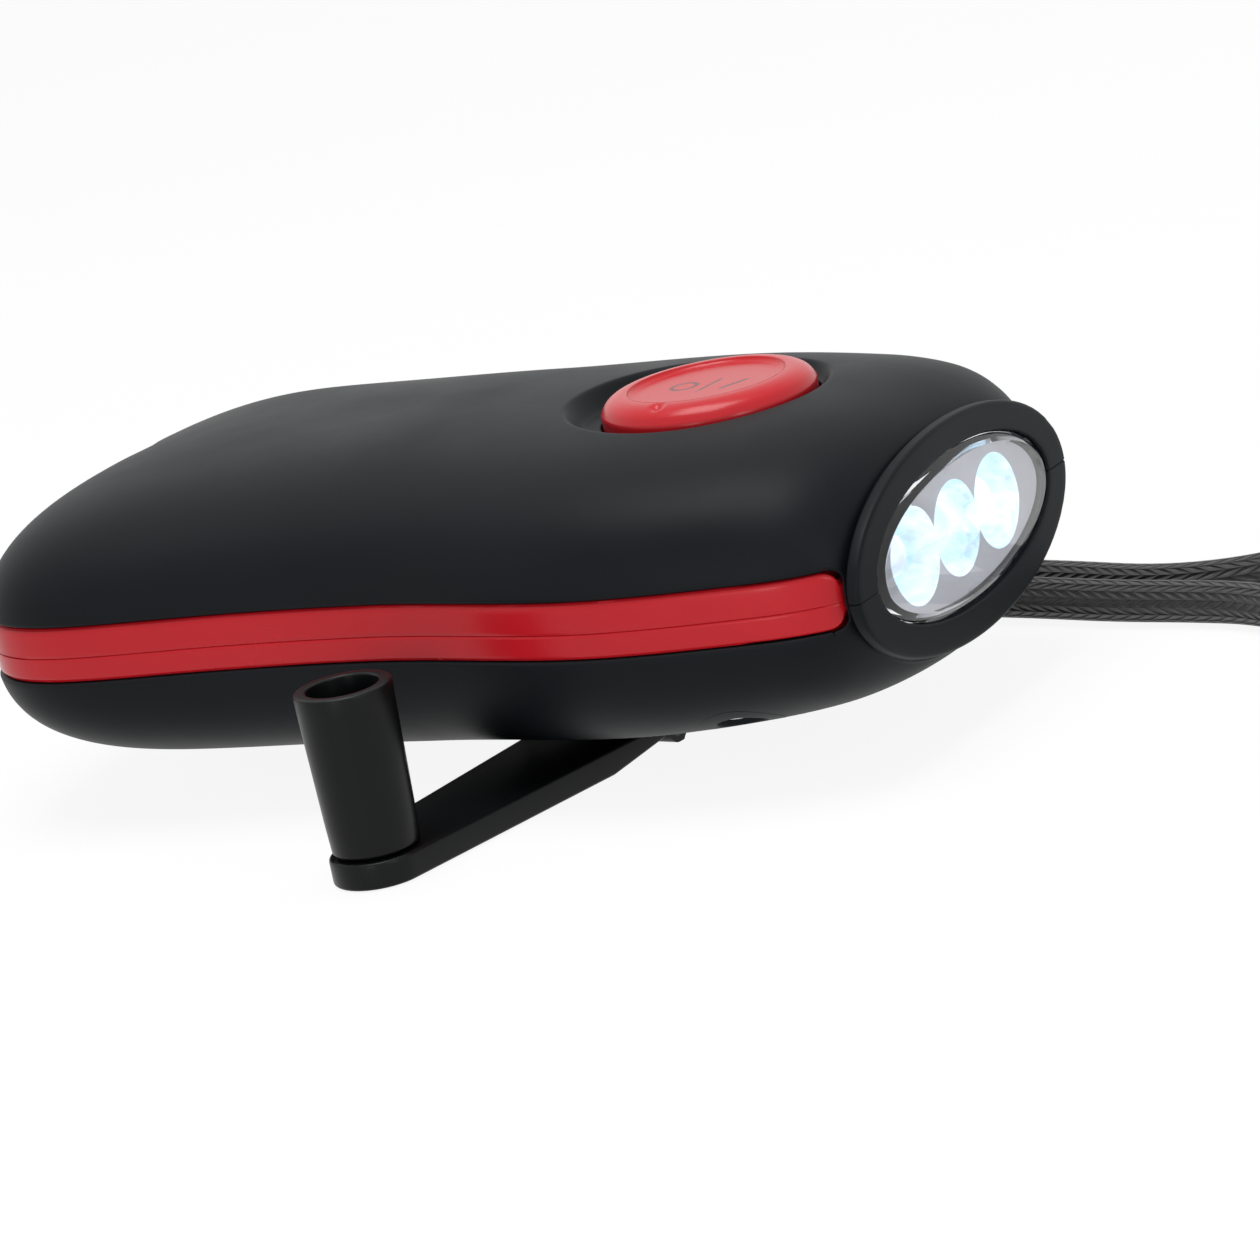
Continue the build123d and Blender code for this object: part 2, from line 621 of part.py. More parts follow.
save(rotor_bridge.part, "rotor_bridge")

# Screws, one node for each kind.
case_heads = screw_group(case_screw_places, 2.1, 7.6, 9.0, screw_radius, seam_z + 6)
save(case_heads, "case_screws")
plate_heads = screw_group(
    plate_screw_places, 1.7, plate_high_z + 1.0, plate_high_z, small_screw_radius, plate_low_z - 5
)
save(plate_heads, "gear_plate_screws")
board_heads = screw_group(
    board_screw_places, 1.7, board_low_z - 1.0, board_low_z, small_screw_radius, board_high_z + 4
)
save(board_heads, "board_screws")

# Crank, modelled along +X from the axis and turned into place at the end. The hub is notched and the
# arm tapers beneath, so that the arm can fold right over.
crank_turn = Rot(0, 0, arm_angle)
hinge_z = arm_thickness / 2
hub_flat_x = hinge_reach - hinge_z - 0.3
arm_root_x = hinge_reach + 1.75
taper_end_x = arm_root_x + 7.75
taper_root_z = hinge_z - 0.2
ear_middle = (ear_inner + ear_outer) / 2
ear_width = ear_outer - ear_inner
with BuildPart() as hub_collar:
    add(rod(hub_radius - 1.0, arm_thickness, arm_thickness + 0.9))
    with Locations((hub_flat_x + 10, 0, arm_thickness)):
        Box(20, 40, 10, mode=Mode.SUBTRACT)
with BuildPart() as hub_notch:
    with BuildSketch(Plane.XZ.offset(-20)):
        with BuildLine():
            Polyline(
                (hinge_reach - 0.6, -0.1), (hinge_reach - 0.95, 0.3),
                (hub_flat_x, 0.9), (hub_flat_x - 3.2, -0.1), close=True,
            )
        make_face()
    extrude(amount=40)
with BuildPart() as crank_hub:
    add(rod(hub_radius, 0, arm_thickness))
    with Locations((hub_flat_x + 10, 0, hinge_z)):
        Box(20, 40, 10, mode=Mode.SUBTRACT)
    for side in (-1, 1):
        with Locations(((hub_flat_x + hinge_reach) / 2, side * ear_middle, hinge_z)):
            Box(hinge_reach - hub_flat_x, ear_width, arm_thickness)
        with Locations(Location((hinge_reach, side * ear_middle, hinge_z), (90, 0, 0))):
            Cylinder(hinge_z, ear_width)
    add(hub_notch.part, mode=Mode.SUBTRACT)
    add(hub_collar.part)
    add(rod(shaft_radius, arm_thickness - 0.1, coarse_low_z))
    with Locations((0, 0, (coarse_low_z + coarse_high_z) / 2)):
        Box(drive_square, drive_square, coarse_high_z - coarse_low_z)
    add(rod(small_screw_radius, coarse_high_z - 5, coarse_high_z + 1), mode=Mode.SUBTRACT)
    with Locations(Location((hinge_reach, 0, hinge_z), (90, 0, 0))):
        Cylinder(hinge_pin_radius, 40, mode=Mode.SUBTRACT)
save(crank_turn * crank_hub.part, "crank_hub")

with BuildPart() as arm_taper:
    with BuildSketch(Plane.XZ.offset(-20)):
        with BuildLine():
            Polyline(
                (hinge_reach, -0.1), (hinge_reach, taper_root_z), (arm_root_x, taper_root_z),
                (taper_end_x, -0.1), close=True,
            )
        make_face()
    extrude(amount=40)
with BuildPart() as crank_arm:
    with BuildSketch():
        with BuildLine():
            Polyline(
                (arm_root_x, arm_hub_half_width), (arm_length, arm_knob_radius),
                (arm_length, -arm_knob_radius), (arm_root_x, -arm_hub_half_width), close=True,
            )
        make_face()
        with Locations((arm_length, 0)):
            Circle(arm_knob_radius)
    extrude(amount=arm_thickness)
    knuckle = ear_inner - 0.2
    with Locations(((hinge_reach + arm_root_x) / 2, 0, hinge_z)):
        Box(arm_root_x - hinge_reach + 0.2, 2 * knuckle, arm_thickness)
    add(arm_taper.part, mode=Mode.SUBTRACT)
    with Locations(Location((hinge_reach, 0, hinge_z), (90, 0, 0))):
        Cylinder(hinge_z, 2 * knuckle)
        Cylinder(hinge_pin_radius + running_gap, 40, mode=Mode.SUBTRACT)
    add(rod(post_radius, arm_thickness, knob_foot_z + knob_floor + 0.1, arm_length))
    add(rod(small_screw_radius, 0.8, 20, arm_length), mode=Mode.SUBTRACT)
save(crank_turn * crank_arm.part, "crank_arm")
hinge_pin = Pos(hinge_reach, 0, hinge_z) * Rot(90, 0, 0) * Cylinder(hinge_pin_radius, 2 * ear_outer)
save(crank_turn * hinge_pin, "hinge_pin")

with BuildPart() as knob:
    with BuildSketch(Plane.XY.offset(knob_foot_z)):
        Circle(knob_foot_radius)
    with BuildSketch(Plane.XY.offset(knob_top_z)):
        Circle(knob_top_radius)
    loft()
    add(rod(knob_bore_radius, knob_foot_z + knob_floor, 30), mode=Mode.SUBTRACT)
    add(rod(post_radius + running_gap, 0, 30), mode=Mode.SUBTRACT)
save(crank_turn * Pos(arm_length, 0, 0) * knob.part, "knob")
post_top = knob_foot_z + knob_floor + 0.1
with BuildPart() as knob_screw:
    add(rod(2.9, post_top, post_top + 0.4))
    add(rod(1.8, post_top + 0.4, post_top + 1.5))
    add(rod(small_screw_radius, 0.8, post_top))
save(crank_turn * Pos(arm_length, 0, 0) * knob_screw.part, "knob_screw")

# Wrist strap: cord loop, clamp and the string that goes round the lug bar.
save(cord_tube([(x, y, strap_z) for x, y in strap_route], strap_diameter, "strap"), "strap_cord")
save(cord_tube(string_route, string_diameter, "string"), "strap_string")
with BuildPart() as strap_clamp:
    with Locations((clamp_x, clamp_y, clamp_height / 2)):
        Box(clamp_length, clamp_width, clamp_height)
    fillet(strap_clamp.edges().filter_by(Axis.X), 1.6)
save(strap_clamp.part, "strap_clamp")
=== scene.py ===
from functools import partial
from math import pi, radians

import bmesh
import bpy
import numpy as np
from mathutils import Matrix, Vector


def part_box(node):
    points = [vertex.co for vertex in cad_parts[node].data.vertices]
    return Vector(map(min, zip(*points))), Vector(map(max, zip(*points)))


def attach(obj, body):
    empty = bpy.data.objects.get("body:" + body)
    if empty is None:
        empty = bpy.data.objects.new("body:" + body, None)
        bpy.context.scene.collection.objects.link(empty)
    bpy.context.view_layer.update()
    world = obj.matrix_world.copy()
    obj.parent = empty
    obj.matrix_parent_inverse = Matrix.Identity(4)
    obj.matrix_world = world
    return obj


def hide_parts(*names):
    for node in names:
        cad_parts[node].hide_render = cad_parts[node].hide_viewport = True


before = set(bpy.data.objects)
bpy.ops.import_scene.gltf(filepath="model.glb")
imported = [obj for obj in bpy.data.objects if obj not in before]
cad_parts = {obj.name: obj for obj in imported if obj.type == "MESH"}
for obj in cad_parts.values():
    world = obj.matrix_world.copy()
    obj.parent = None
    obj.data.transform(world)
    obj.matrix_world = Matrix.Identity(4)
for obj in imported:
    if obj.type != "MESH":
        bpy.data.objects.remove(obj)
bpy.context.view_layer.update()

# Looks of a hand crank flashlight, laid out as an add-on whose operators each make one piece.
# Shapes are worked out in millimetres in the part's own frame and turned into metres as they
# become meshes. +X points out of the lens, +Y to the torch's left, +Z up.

bl_info = {
    "name": "Hand crank flashlight",
    "version": (1, 0, 0),
    "blender": (4, 5, 0),
    "location": "View3D > Sidebar > Torch",
    "description": "Builds the skins, lamp head, button, crank and wrist strap round the packed frame",
    "category": "Add Mesh",
}

MM = 0.001

# Body outline: control values at quarter points from the rear end to the lens.
SEAM_Z, REAR_X, LENS_X, FRONT_X = 18.5, -62.7, 38.0, 36.65
HALF_WIDTHS = (37.0, 29.6, 27.0, 28.4, 22.9)
RISES = (21.0, 16.8, 15.6, 15.2, 13.8)
DROPS = (18.2, 15.4, 15.4, 15.0, 12.4)
SECTION_POWER = 2.85
WIDTH_ROUND, WIDTH_POWER = 31.4, 2.95
RISE_ROUND, RISE_POWER = 75.6, 2.8
DROP_ROUND, DROP_POWER = 34.0, 2.27
NOSE_LENGTH, NOSE_END, NOSE_RISE, NOSE_DROP = 12.5, 36.8, 4.4, 2.2
NECK_LENGTH, NECK_DEPTH, NOSE_POWER = 7.8, 3.5, 2.2
BAND_TOP, BAND_BOTTOM, BAND_GAP, BAND_FRONT, BAND_CORNER = 3.0, 2.4, 0.12, 36.0, 1.1
HEAD_Z, PLATE_X, LENS_BACK, LENS_ROOT = 18.9, 36.8, 37.55, 36.05
LAMP_Z, LAMP_PITCH, CUP_RADIUS, CUP_FLOOR_RADIUS, CUP_FLOOR_X = 18.7, 8.5, 4.45, 2.65, 28.6
CRANK_ANGLE = 261.4
POWER_START = 30.5
BEZEL_RISE, BEZEL_ROUNDING, BORE_ROUNDING, NOSE_ROUNDING, COVE_LENGTH = 0.25, 0.4, 0.25, 0.2, 0.5
BUTTON_X, DISC_Z, DIMPLE_X, DIMPLE_Y = 13.6, 34.15, -0.6, -8.7
SHELL_SQUEEZE_START, SHELL_SQUEEZE_LENGTH, SHELL_SQUEEZE = 28.0, 4.0, 0.045

# Control points of the strap and of its string, as in the part's own source.
STRAP_ROUTE = (
    (-44.0, 31.25), (-30.0, 31.6), (-14.0, 32.5), (2.0, 32.7), (16.0, 31.9), (28.0, 30.1), (38.0, 27.9),
    (47.0, 26.9), (54.5, 25.6), (62.3, 21.0), (70.8, 16.6), (81.6, 18.0), (88.8, 26.2), (89.0, 37.4),
    (82.0, 46.0), (70.8, 48.0), (61.0, 44.0), (54.6, 37.2), (48.0, 33.2), (40.2, 32.4), (30.5, 34.9),
    (18.0, 37.3), (2.0, 38.1), (-14.0, 37.5), (-30.0, 37.0), (-44.0, 36.75),
)
STRING_ROUTE = (
    (-54.0, 32.9, 2.6), (-58.0, 32.6, 2.5), (-60.6, 28.6, 1.3), (-61.9, 22.6, 0.7), (-62.8, 16.6, 1.7),
    (-63.6, 11.2, 6.0), (-64.0, 6.9, 12.0), (-63.9, 3.6, 18.2), (-63.2, 1.6, 23.6), (-61.8, 0.9, 26.7),
    (-59.3, 0.8, 27.4), (-57.0, 0.7, 27.25), (-54.8, 0.5, 27.25), (-54.8, -0.5, 29.35), (-57.2, -0.7, 29.3),
    (-59.6, -0.7, 28.3), (-61.9, -0.6, 26.7), (-63.4, 0.0, 23.5), (-64.4, 1.9, 18.0), (-64.9, 5.2, 11.4),
    (-64.9, 9.8, 5.0), (-64.6, 15.6, 0.9), (-63.8, 22.4, 0.6), (-62.6, 29.0, 1.1), (-59.2, 34.6, 2.4),
    (-54.0, 35.1, 2.6),
)


# Shape of the body.

def eased(controls, share):
    """Catmull-Rom cubic through evenly spaced controls, at shares from 0 to 1."""
    values = np.asarray(controls, float)
    values = np.concatenate([[2 * values[0] - values[1]], values, [2 * values[-1] - values[-2]]])
    spans = len(controls) - 1
    share = np.clip(np.asarray(share, float), 0, 1)
    span = np.clip((share * spans).astype(int), 0, spans - 1)
    t = share * spans - span
    a, b, c, d = values[span], values[span + 1], values[span + 2], values[span + 3]
    return b + t * ((c - a) / 2 + t * ((2 * a - 5 * b + 4 * c - d) / 2 + t * (3 * b - a - 3 * c + d) / 2))


def end_fall(x, length):
    """Quarter-ellipse fall from 0 to 1 over a length that stops at the nose's end."""
    return 1 - np.sqrt(1 - np.clip((x - NOSE_END + length) / length, 0, 1) ** 2)


def half_sizes(x, inset=0.0):
    """Half width, rise and drop of the body at x: the eased controls less the inset, times
    (1 - left^p)^(1/p) near the rear end, less a quarter-ellipse fall over the nose and neck."""
    x = np.asarray(x, float)
    share = (x - REAR_X) / (LENS_X - REAR_X)
    fall = end_fall(x, NOSE_LENGTH)

    def rounded(controls, length, power):
        left = np.clip(1 - (x - REAR_X - inset) / (length - inset), 0, 1)
        return (eased(controls, share) - inset) * (1 - left**power) ** (1 / power)

    width = rounded(HALF_WIDTHS, WIDTH_ROUND, WIDTH_POWER) - NECK_DEPTH * end_fall(x, NECK_LENGTH)
    rise = rounded(RISES, RISE_ROUND, RISE_POWER) - NOSE_RISE * fall
    drop = rounded(DROPS, DROP_ROUND, DROP_POWER) - NOSE_DROP * fall
    return np.maximum(width, 1e-6), np.maximum(rise, 1e-6), np.maximum(drop, 1e-6)


def section_power(x):
    """How square the body's cross-section is: constant, then falling as a square over the nose."""
    share = np.clip((np.asarray(x, float) - POWER_START) / (NOSE_END - POWER_START), 0, 1)
    return SECTION_POWER - (SECTION_POWER - NOSE_POWER) * share**2


def fullness(x, y, z, inset, upper):
    """(|y| / half width)^p + (|z| / height)^p, which is 1 on the surface and less inside it."""
    width, rise, drop = half_sizes(x, inset)
    height = rise if upper else drop
    power = section_power(x)
    return (np.abs(y) / width) ** power + (np.abs(z) / height) ** power


def crown(x, y, upper, inset=0.0):
    """Height of the surface over the seam at a plan point."""
    width, rise, drop = half_sizes(x, inset)
    power = section_power(x)
    return (rise if upper else drop) * np.clip(1 - (np.abs(y) / width) ** power, 0, 1) ** (1 / power)


def flank(x, z, upper, inset=0.0):
    """Half width of the body at a height over the seam."""
    width, rise, drop = half_sizes(x, inset)
    power = section_power(x)
    return width * np.clip(1 - (np.abs(z) / (rise if upper else drop)) ** power, 0, 1) ** (1 / power)


def cast(centre_x, ways, start_z, upper, inset=0.0):
    """Where rays leave the body: 46 halvings of the span in which the fullness passes 1."""
    near = np.zeros(ways.shape[:-1])
    far = np.full(ways.shape[:-1], 130.0)
    for _ in range(46):
        middle = (near + far) / 2
        x = centre_x + middle * ways[..., 0]
        inside = fullness(x, middle * ways[..., 1], start_z + middle * ways[..., 2], inset, upper) < 1
        inside &= x > REAR_X + inset
        near, far = np.where(inside, middle, near), np.where(inside, far, middle)
    points = ways * near[..., None]
    points[..., 0] += centre_x
    points[..., 2] += start_z
    return points


def level_ring(centre_x, turn, level, inset, upper):
    """Outline of the body at one height, at the given plan angles."""
    turn, level, inset = np.broadcast_arrays(turn, level, inset)
    ways = np.stack([np.cos(turn), np.sin(turn), np.zeros_like(turn)], -1)
    return cast(centre_x, ways, level, upper, inset)


def plan_angles(centre_x, count, marks):
    """Plan angles of points evenly spaced along the outline, with the marked angles among them."""
    x = REAR_X + 0.001 + (FRONT_X - REAR_X) * (1 - np.cos(np.linspace(0, pi / 2, 900))) ** 1.6
    x = np.minimum(x, FRONT_X)[::-1]
    y = half_sizes(x)[0]
    x, y = np.append(FRONT_X, x), np.append(0, y)
    x, y = np.append(x, REAR_X), np.append(y, 0)
    length = np.append(0, np.cumsum(np.hypot(np.diff(x), np.diff(y))))
    even = np.linspace(0, length[-1], count // 2 + 1)
    half = np.arctan2(np.interp(even, length, y), np.interp(even, length, x) - centre_x)
    half[0], half[-1] = 0, pi
    for mark in marks:
        half[np.argmin(np.abs(half - mark))] = mark
    return np.concatenate([half[:-1], 2 * pi - half[:0:-1]])


# Meshes.

def grid_faces(rows, columns, closed):
    """Quads of a grid, closed in its second direction or not."""
    row = np.arange(rows - 1)[:, None]
    column = np.arange(columns if closed else columns - 1)[None, :]
    after = (column + 1) % columns
    quads = [row * columns + column, row * columns + after, (row + 1) * columns + after]
    quads.append((row + 1) * columns + column)
    return np.stack(quads, -1).reshape(-1, 4)


def outward(points, faces, centre):
    """Turns a grid's faces over if, weighted by area, they look at the centre on the whole."""
    corners = points[faces]
    normals = np.cross(corners[:, 2] - corners[:, 0], corners[:, 3] - corners[:, 1])
    facing = (normals * (corners.mean(1) - centre)).sum()
    return faces if facing > 0 else faces[:, ::-1]


def linked(name, data):
    """New object in the scene."""
    made = bpy.data.objects.new(name, data)
    bpy.context.scene.collection.objects.link(made)
    return made


def smoothed(name, mesh, crease):
    """Object of a mesh, smooth but for edges sharper than the crease in degrees."""
    mesh.shade_smooth()
    mesh.set_sharp_from_angle(angle=radians(crease))
    return linked(name, mesh)


def build(name, grids, centre, crease):
    """One mesh from grids of (points in mm, closed), then if wanted a test of the faces to keep and
    a centre of the grid's own that its faces look away from; welded and smoothed."""
    points, faces, start = [], [], 0
    for grid in grids:
        rows, columns = grid[0].shape[:2]
        flat = grid[0].reshape(-1, 3)
        quads = grid_faces(rows, columns, grid[1])
        if len(grid) > 2 and grid[2] is not None:
            quads = quads[grid[2](flat[quads].mean(1))]
        quads = outward(flat, quads, np.asarray(centre if len(grid) < 4 else grid[3], float))
        points.append(flat)
        faces.append(quads + start)
        start += len(flat)
    points = np.concatenate(points) * MM
    faces = np.concatenate(faces)
    mesh = bpy.data.meshes.new(name)
    mesh.vertices.add(len(points))
    mesh.vertices.foreach_set("co", points.ravel())
    mesh.loops.add(faces.size)
    mesh.loops.foreach_set("vertex_index", faces.ravel())
    mesh.polygons.add(len(faces))
    mesh.polygons.foreach_set("loop_start", np.arange(0, faces.size, 4))
    mesh.polygons.foreach_set("loop_total", np.full(len(faces), 4))
    mesh.update(calc_edges=True)
    weld = bmesh.new()
    weld.from_mesh(mesh)
    bmesh.ops.remove_doubles(weld, verts=weld.verts, dist=2e-6)
    bmesh.ops.dissolve_degenerate(weld, edges=weld.edges, dist=1e-7)
    weld.to_mesh(mesh)
    weld.free()
    mesh.validate()
    return smoothed(name, mesh, crease)


def spun(radii, heights, count=96):
    """Surface of revolution about Z: (r cos a, r sin a, z) along the profile."""
    turn = np.linspace(0, 2 * pi, count, endpoint=False)
    radii, heights = np.asarray(radii, float), np.asarray(heights, float)
    return np.stack([
        radii[:, None] * np.cos(turn), radii[:, None] * np.sin(turn), heights[:, None] + 0 * turn,
    ], -1)


def along_x(grid, y, z):
    """Turns a spun grid so that its axis lies along X, through y and z."""
    return np.stack([grid[..., 2], grid[..., 0] + y, grid[..., 1] + z], -1)


def arc(centre_a, centre_b, radius, start, end, count=6):
    """Points of a circular arc in a plane, as two arrays; angles in degrees."""
    turn = np.radians(np.linspace(start, end, count))
    return centre_a + radius * np.cos(turn), centre_b + radius * np.sin(turn)


def joined(*parts):
    """Profile made of pieces, each a pair of arrays."""
    return np.concatenate([np.atleast_1d(part[0]) for part in parts]), np.concatenate(
        [np.atleast_1d(part[1]) for part in parts]
    )


def turned(points, degrees_round):
    """Points turned about the crank's axis."""
    c, s = np.cos(radians(degrees_round)), np.sin(radians(degrees_round))
    x, y = points[..., 0] * c - points[..., 1] * s, points[..., 0] * s + points[..., 1] * c
    return np.stack([x, y, points[..., 2]], -1)


def dress(piece, slot, body, *nodes, finish=None):
    """Gives a piece its finish and body, and hides the nodes that it stands for."""
    piece.data.materials.clear()
    piece.data.materials.append(finish_named(finish or slot))
    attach(piece, body)
    if nodes:
        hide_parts(*nodes)
    return piece


# Finishes.

def new_group(name, inputs, outputs):
    """Empty node group with its sockets, and its two end nodes."""
    group = bpy.data.node_groups.new(name, "ShaderNodeTree")
    for label, kind, value in inputs:
        socket = group.interface.new_socket(label, in_out="INPUT", socket_type=kind)
        if value is not None:
            socket.default_value = value
    for label, kind in outputs:
        group.interface.new_socket(label, in_out="OUTPUT", socket_type=kind)
    start, end = group.nodes.new("NodeGroupInput"), group.nodes.new("NodeGroupOutput")
    return group, start.outputs, end.inputs


def calculate(tree, operation, first, second=None, third=None):
    """Math node fed with sockets or plain numbers."""
    node = tree.nodes.new("ShaderNodeMath")
    node.operation = operation
    for number, value in enumerate((first, second, third)):
        if value is None:
            continue
        if hasattr(value, "is_output"):
            tree.links.new(value, node.inputs[number])
        else:
            node.inputs[number].default_value = value
    return node.outputs[0]


def limited(tree, value):
    """Value kept between 0 and 1."""
    return calculate(tree, "MINIMUM", calculate(tree, "MAXIMUM", value, 0.0), 1.0)


def set_inputs(node, values):
    """Plain values of a node's sockets, by their names."""
    for label, value in values.items():
        node.inputs[label].default_value = value


def noise(tree, vector, scale, detail, roughness=0.5):
    """Noise texture on a vector."""
    node = tree.nodes.new("ShaderNodeTexNoise")
    set_inputs(node, {"Detail": detail, "Roughness": roughness})
    tree.links.new(vector, node.inputs["Vector"])
    if hasattr(scale, "is_output"):
        tree.links.new(scale, node.inputs["Scale"])
    else:
        node.inputs["Scale"].default_value = scale
    return node.outputs["Fac"]


def moulded_grain_group():
    """Fine moulded grain: a height for the bump, and a broad patchiness from 0 to 1."""
    group, given, wanted = new_group(
        "moulded_grain",
        [("Vector", "NodeSocketVector", None), ("Grain", "NodeSocketFloat", 2500.0)],
        [("Height", "NodeSocketFloat"), ("Patches", "NodeSocketFloat")],
    )
    fine = noise(group, given["Vector"], given["Grain"], 3.0, 0.6)
    broad = noise(group, given["Vector"], 55.0, 4.0, 0.55)
    spread = calculate(group, "MULTIPLY_ADD", broad, 2.4, -0.7)
    group.links.new(fine, wanted["Height"])
    group.links.new(limited(group, spread), wanted["Patches"])
    return group


def painted_edge_highlight_group():
    """Mask of convex edges, from the surface's pointiness, broken up by noise, where a lighter colour is
    painted as a highlight.
    """
    group, given, wanted = new_group(
        "painted_edge_highlight",
        [("Vector", "NodeSocketVector", None), ("From", "NodeSocketFloat", 0.53),
         ("To", "NodeSocketFloat", 0.62)],
        [("Mask", "NodeSocketFloat")],
    )
    geometry = group.nodes.new("ShaderNodeNewGeometry")
    ramp = group.nodes.new("ShaderNodeMapRange")
    ramp.clamp = True
    group.links.new(geometry.outputs["Pointiness"], ramp.inputs["Value"])
    group.links.new(given["From"], ramp.inputs["From Min"])
    group.links.new(given["To"], ramp.inputs["From Max"])
    patchy = noise(group, given["Vector"], 320.0, 3.0)
    group.links.new(calculate(group, "MULTIPLY", ramp.outputs["Result"], patchy), wanted["Mask"])
    return group


def knit_group():
    """Knitted tube: V stitches in columns round the cord, from UV with V in metres along it.
    Each column's strand is |sin| of the distance along plus a slant that turns over from one
    column to the next, times a half sine across the column."""
    group, given, wanted = new_group(
        "knit_stitches",
        [("UV", "NodeSocketVector", None), ("Columns", "NodeSocketFloat", 16.0),
         ("Stitch", "NodeSocketFloat", 0.0016)],
        [("Height", "NodeSocketFloat"), ("Shaded Gaps", "NodeSocketFloat")],
    )
    split = group.nodes.new("ShaderNodeSeparateXYZ")
    group.links.new(given["UV"], split.inputs[0])
    round_it = calculate(group, "MULTIPLY", split.outputs[0], given["Columns"])
    across = calculate(group, "FRACT", round_it)
    side = calculate(group, "PINGPONG", calculate(group, "FLOOR", round_it), 1.0)
    lean = calculate(group, "MULTIPLY_ADD", side, 2.0, -1.0)
    slant = calculate(group, "MULTIPLY", calculate(group, "ADD", across, -0.5), lean)
    wave = calculate(group, "DIVIDE", split.outputs[1], given["Stitch"])
    phase = calculate(group, "MULTIPLY", calculate(group, "MULTIPLY_ADD", slant, 0.9, wave), pi)
    strand = calculate(group, "POWER", calculate(group, "ABSOLUTE", calculate(group, "SINE", phase)), 0.7)
    crest = calculate(group, "POWER", calculate(group, "SINE", calculate(group, "MULTIPLY", across, pi)), 0.6)
    height = calculate(group, "MULTIPLY", strand, crest)
    group.links.new(height, wanted["Height"])
    # 1 in the gaps between the strands, where a darker colour is painted as shade.
    group.links.new(calculate(group, "SUBTRACT", 1.0, height), wanted["Shaded Gaps"])
    return group


def power_marks_group():
    """Sunk O, slash and I on the button's disc: 1 inside each mark, from Object coordinates in
    metres. A mark fades out between 0.85 and 1.25 of its half width."""
    group, given, wanted = new_group(
        "power_marks",
        [("Vector", "NodeSocketVector", None), ("Disc Height", "NodeSocketFloat", 0.0)],
        [("Mask", "NodeSocketFloat")],
    )
    split = group.nodes.new("ShaderNodeSeparateXYZ")
    group.links.new(given["Vector"], split.inputs[0])
    x, y, z = split.outputs

    def worked(operation, *values):
        return calculate(group, operation, *values)

    def near(distance, reach):
        ramp = group.nodes.new("ShaderNodeMapRange")
        set_inputs(ramp, {"From Min": reach * 1.25, "From Max": reach * 0.85})
        group.links.new(worked("ABSOLUTE", distance), ramp.inputs["Value"])
        return ramp.outputs["Result"]

    def bar(centre_x, centre_y, turn, half_length, half_width):
        c, s = float(np.cos(radians(turn))), float(np.sin(radians(turn)))
        dx, dy = worked("ADD", x, -centre_x), worked("ADD", y, -centre_y)
        lengthwise = worked("MULTIPLY_ADD", dx, c, worked("MULTIPLY", dy, s))
        sideways = worked("MULTIPLY_ADD", dx, -s, worked("MULTIPLY", dy, c))
        return worked("MULTIPLY", near(lengthwise, half_length), near(sideways, half_width))

    ring_x, ring_y, ring_radius, ring_half_width = 0.0115, -0.0007, 0.00125, 0.00022
    dx, dy = worked("ADD", x, -ring_x), worked("ADD", y, -ring_y)
    reach = worked("SQRT", worked("ADD", worked("POWER", dx, 2.0), worked("POWER", dy, 2.0)))
    ring = near(worked("ADD", reach, -ring_radius), ring_half_width)
    slash = bar(0.01425, -0.0006, 84.0, 0.002, 0.00018)
    stroke = bar(0.01695, -0.0007, 64.0, 0.0016, 0.00026)
    mark = worked("MAXIMUM", ring, worked("MAXIMUM", slash, stroke))
    on_disc = near(worked("SUBTRACT", z, given["Disc Height"]), 0.0002)
    group.links.new(worked("MULTIPLY", mark, on_disc), wanted["Mask"])
    return group


GROUP_MAKERS = {
    "moulded_grain": moulded_grain_group, "painted_edge_highlight": painted_edge_highlight_group,
    "knit_stitches": knit_group, "power_marks": power_marks_group,
}


def place_group(tree, name):
    """Node that holds a shared group, made on first use."""
    node = tree.nodes.new("ShaderNodeGroup")
    node.node_tree = bpy.data.node_groups.get(name) or GROUP_MAKERS[name]()
    return node


def blend_colours(tree, mask, first, second):
    """Colour mix by a mask; each colour is a socket or plain RGB."""
    node = tree.nodes.new("ShaderNodeMix")
    node.data_type = "RGBA"
    tree.links.new(mask, node.inputs["Factor"])
    for socket, colour in ((node.inputs[6], first), (node.inputs[7], second)):
        if hasattr(colour, "is_output"):
            tree.links.new(colour, socket)
        else:
            socket.default_value = (*colour[:3], 1.0)
    return node.outputs[2]


def start_material(name, uv=False):
    """Material with its Principled shader and a coordinate socket."""
    made = bpy.data.materials.new(name)
    made.use_nodes = True
    tree = made.node_tree
    shader = tree.nodes["Principled BSDF"]
    coordinates = tree.nodes.new("ShaderNodeTexCoord")
    return made, tree, shader, coordinates.outputs["UV" if uv else "Object"]


def add_bump(tree, shader, height, strength, distance):
    """Bump from a height into the shader's normal."""
    bump = tree.nodes.new("ShaderNodeBump")
    set_inputs(bump, {"Strength": strength, "Distance": distance})
    tree.links.new(height, bump.inputs["Height"])
    tree.links.new(bump.outputs["Normal"], shader.inputs["Normal"])


def mix_surfaces(tree, factor, first, second):
    """Surface of a material from two shaders: the second one where the factor is 1."""
    mix = tree.nodes.new("ShaderNodeMixShader")
    for number, socket in enumerate((factor, first.outputs[0], second.outputs[0])):
        tree.links.new(socket, mix.inputs[number])
    tree.links.new(mix.outputs[0], tree.nodes["Material Output"].inputs["Surface"])


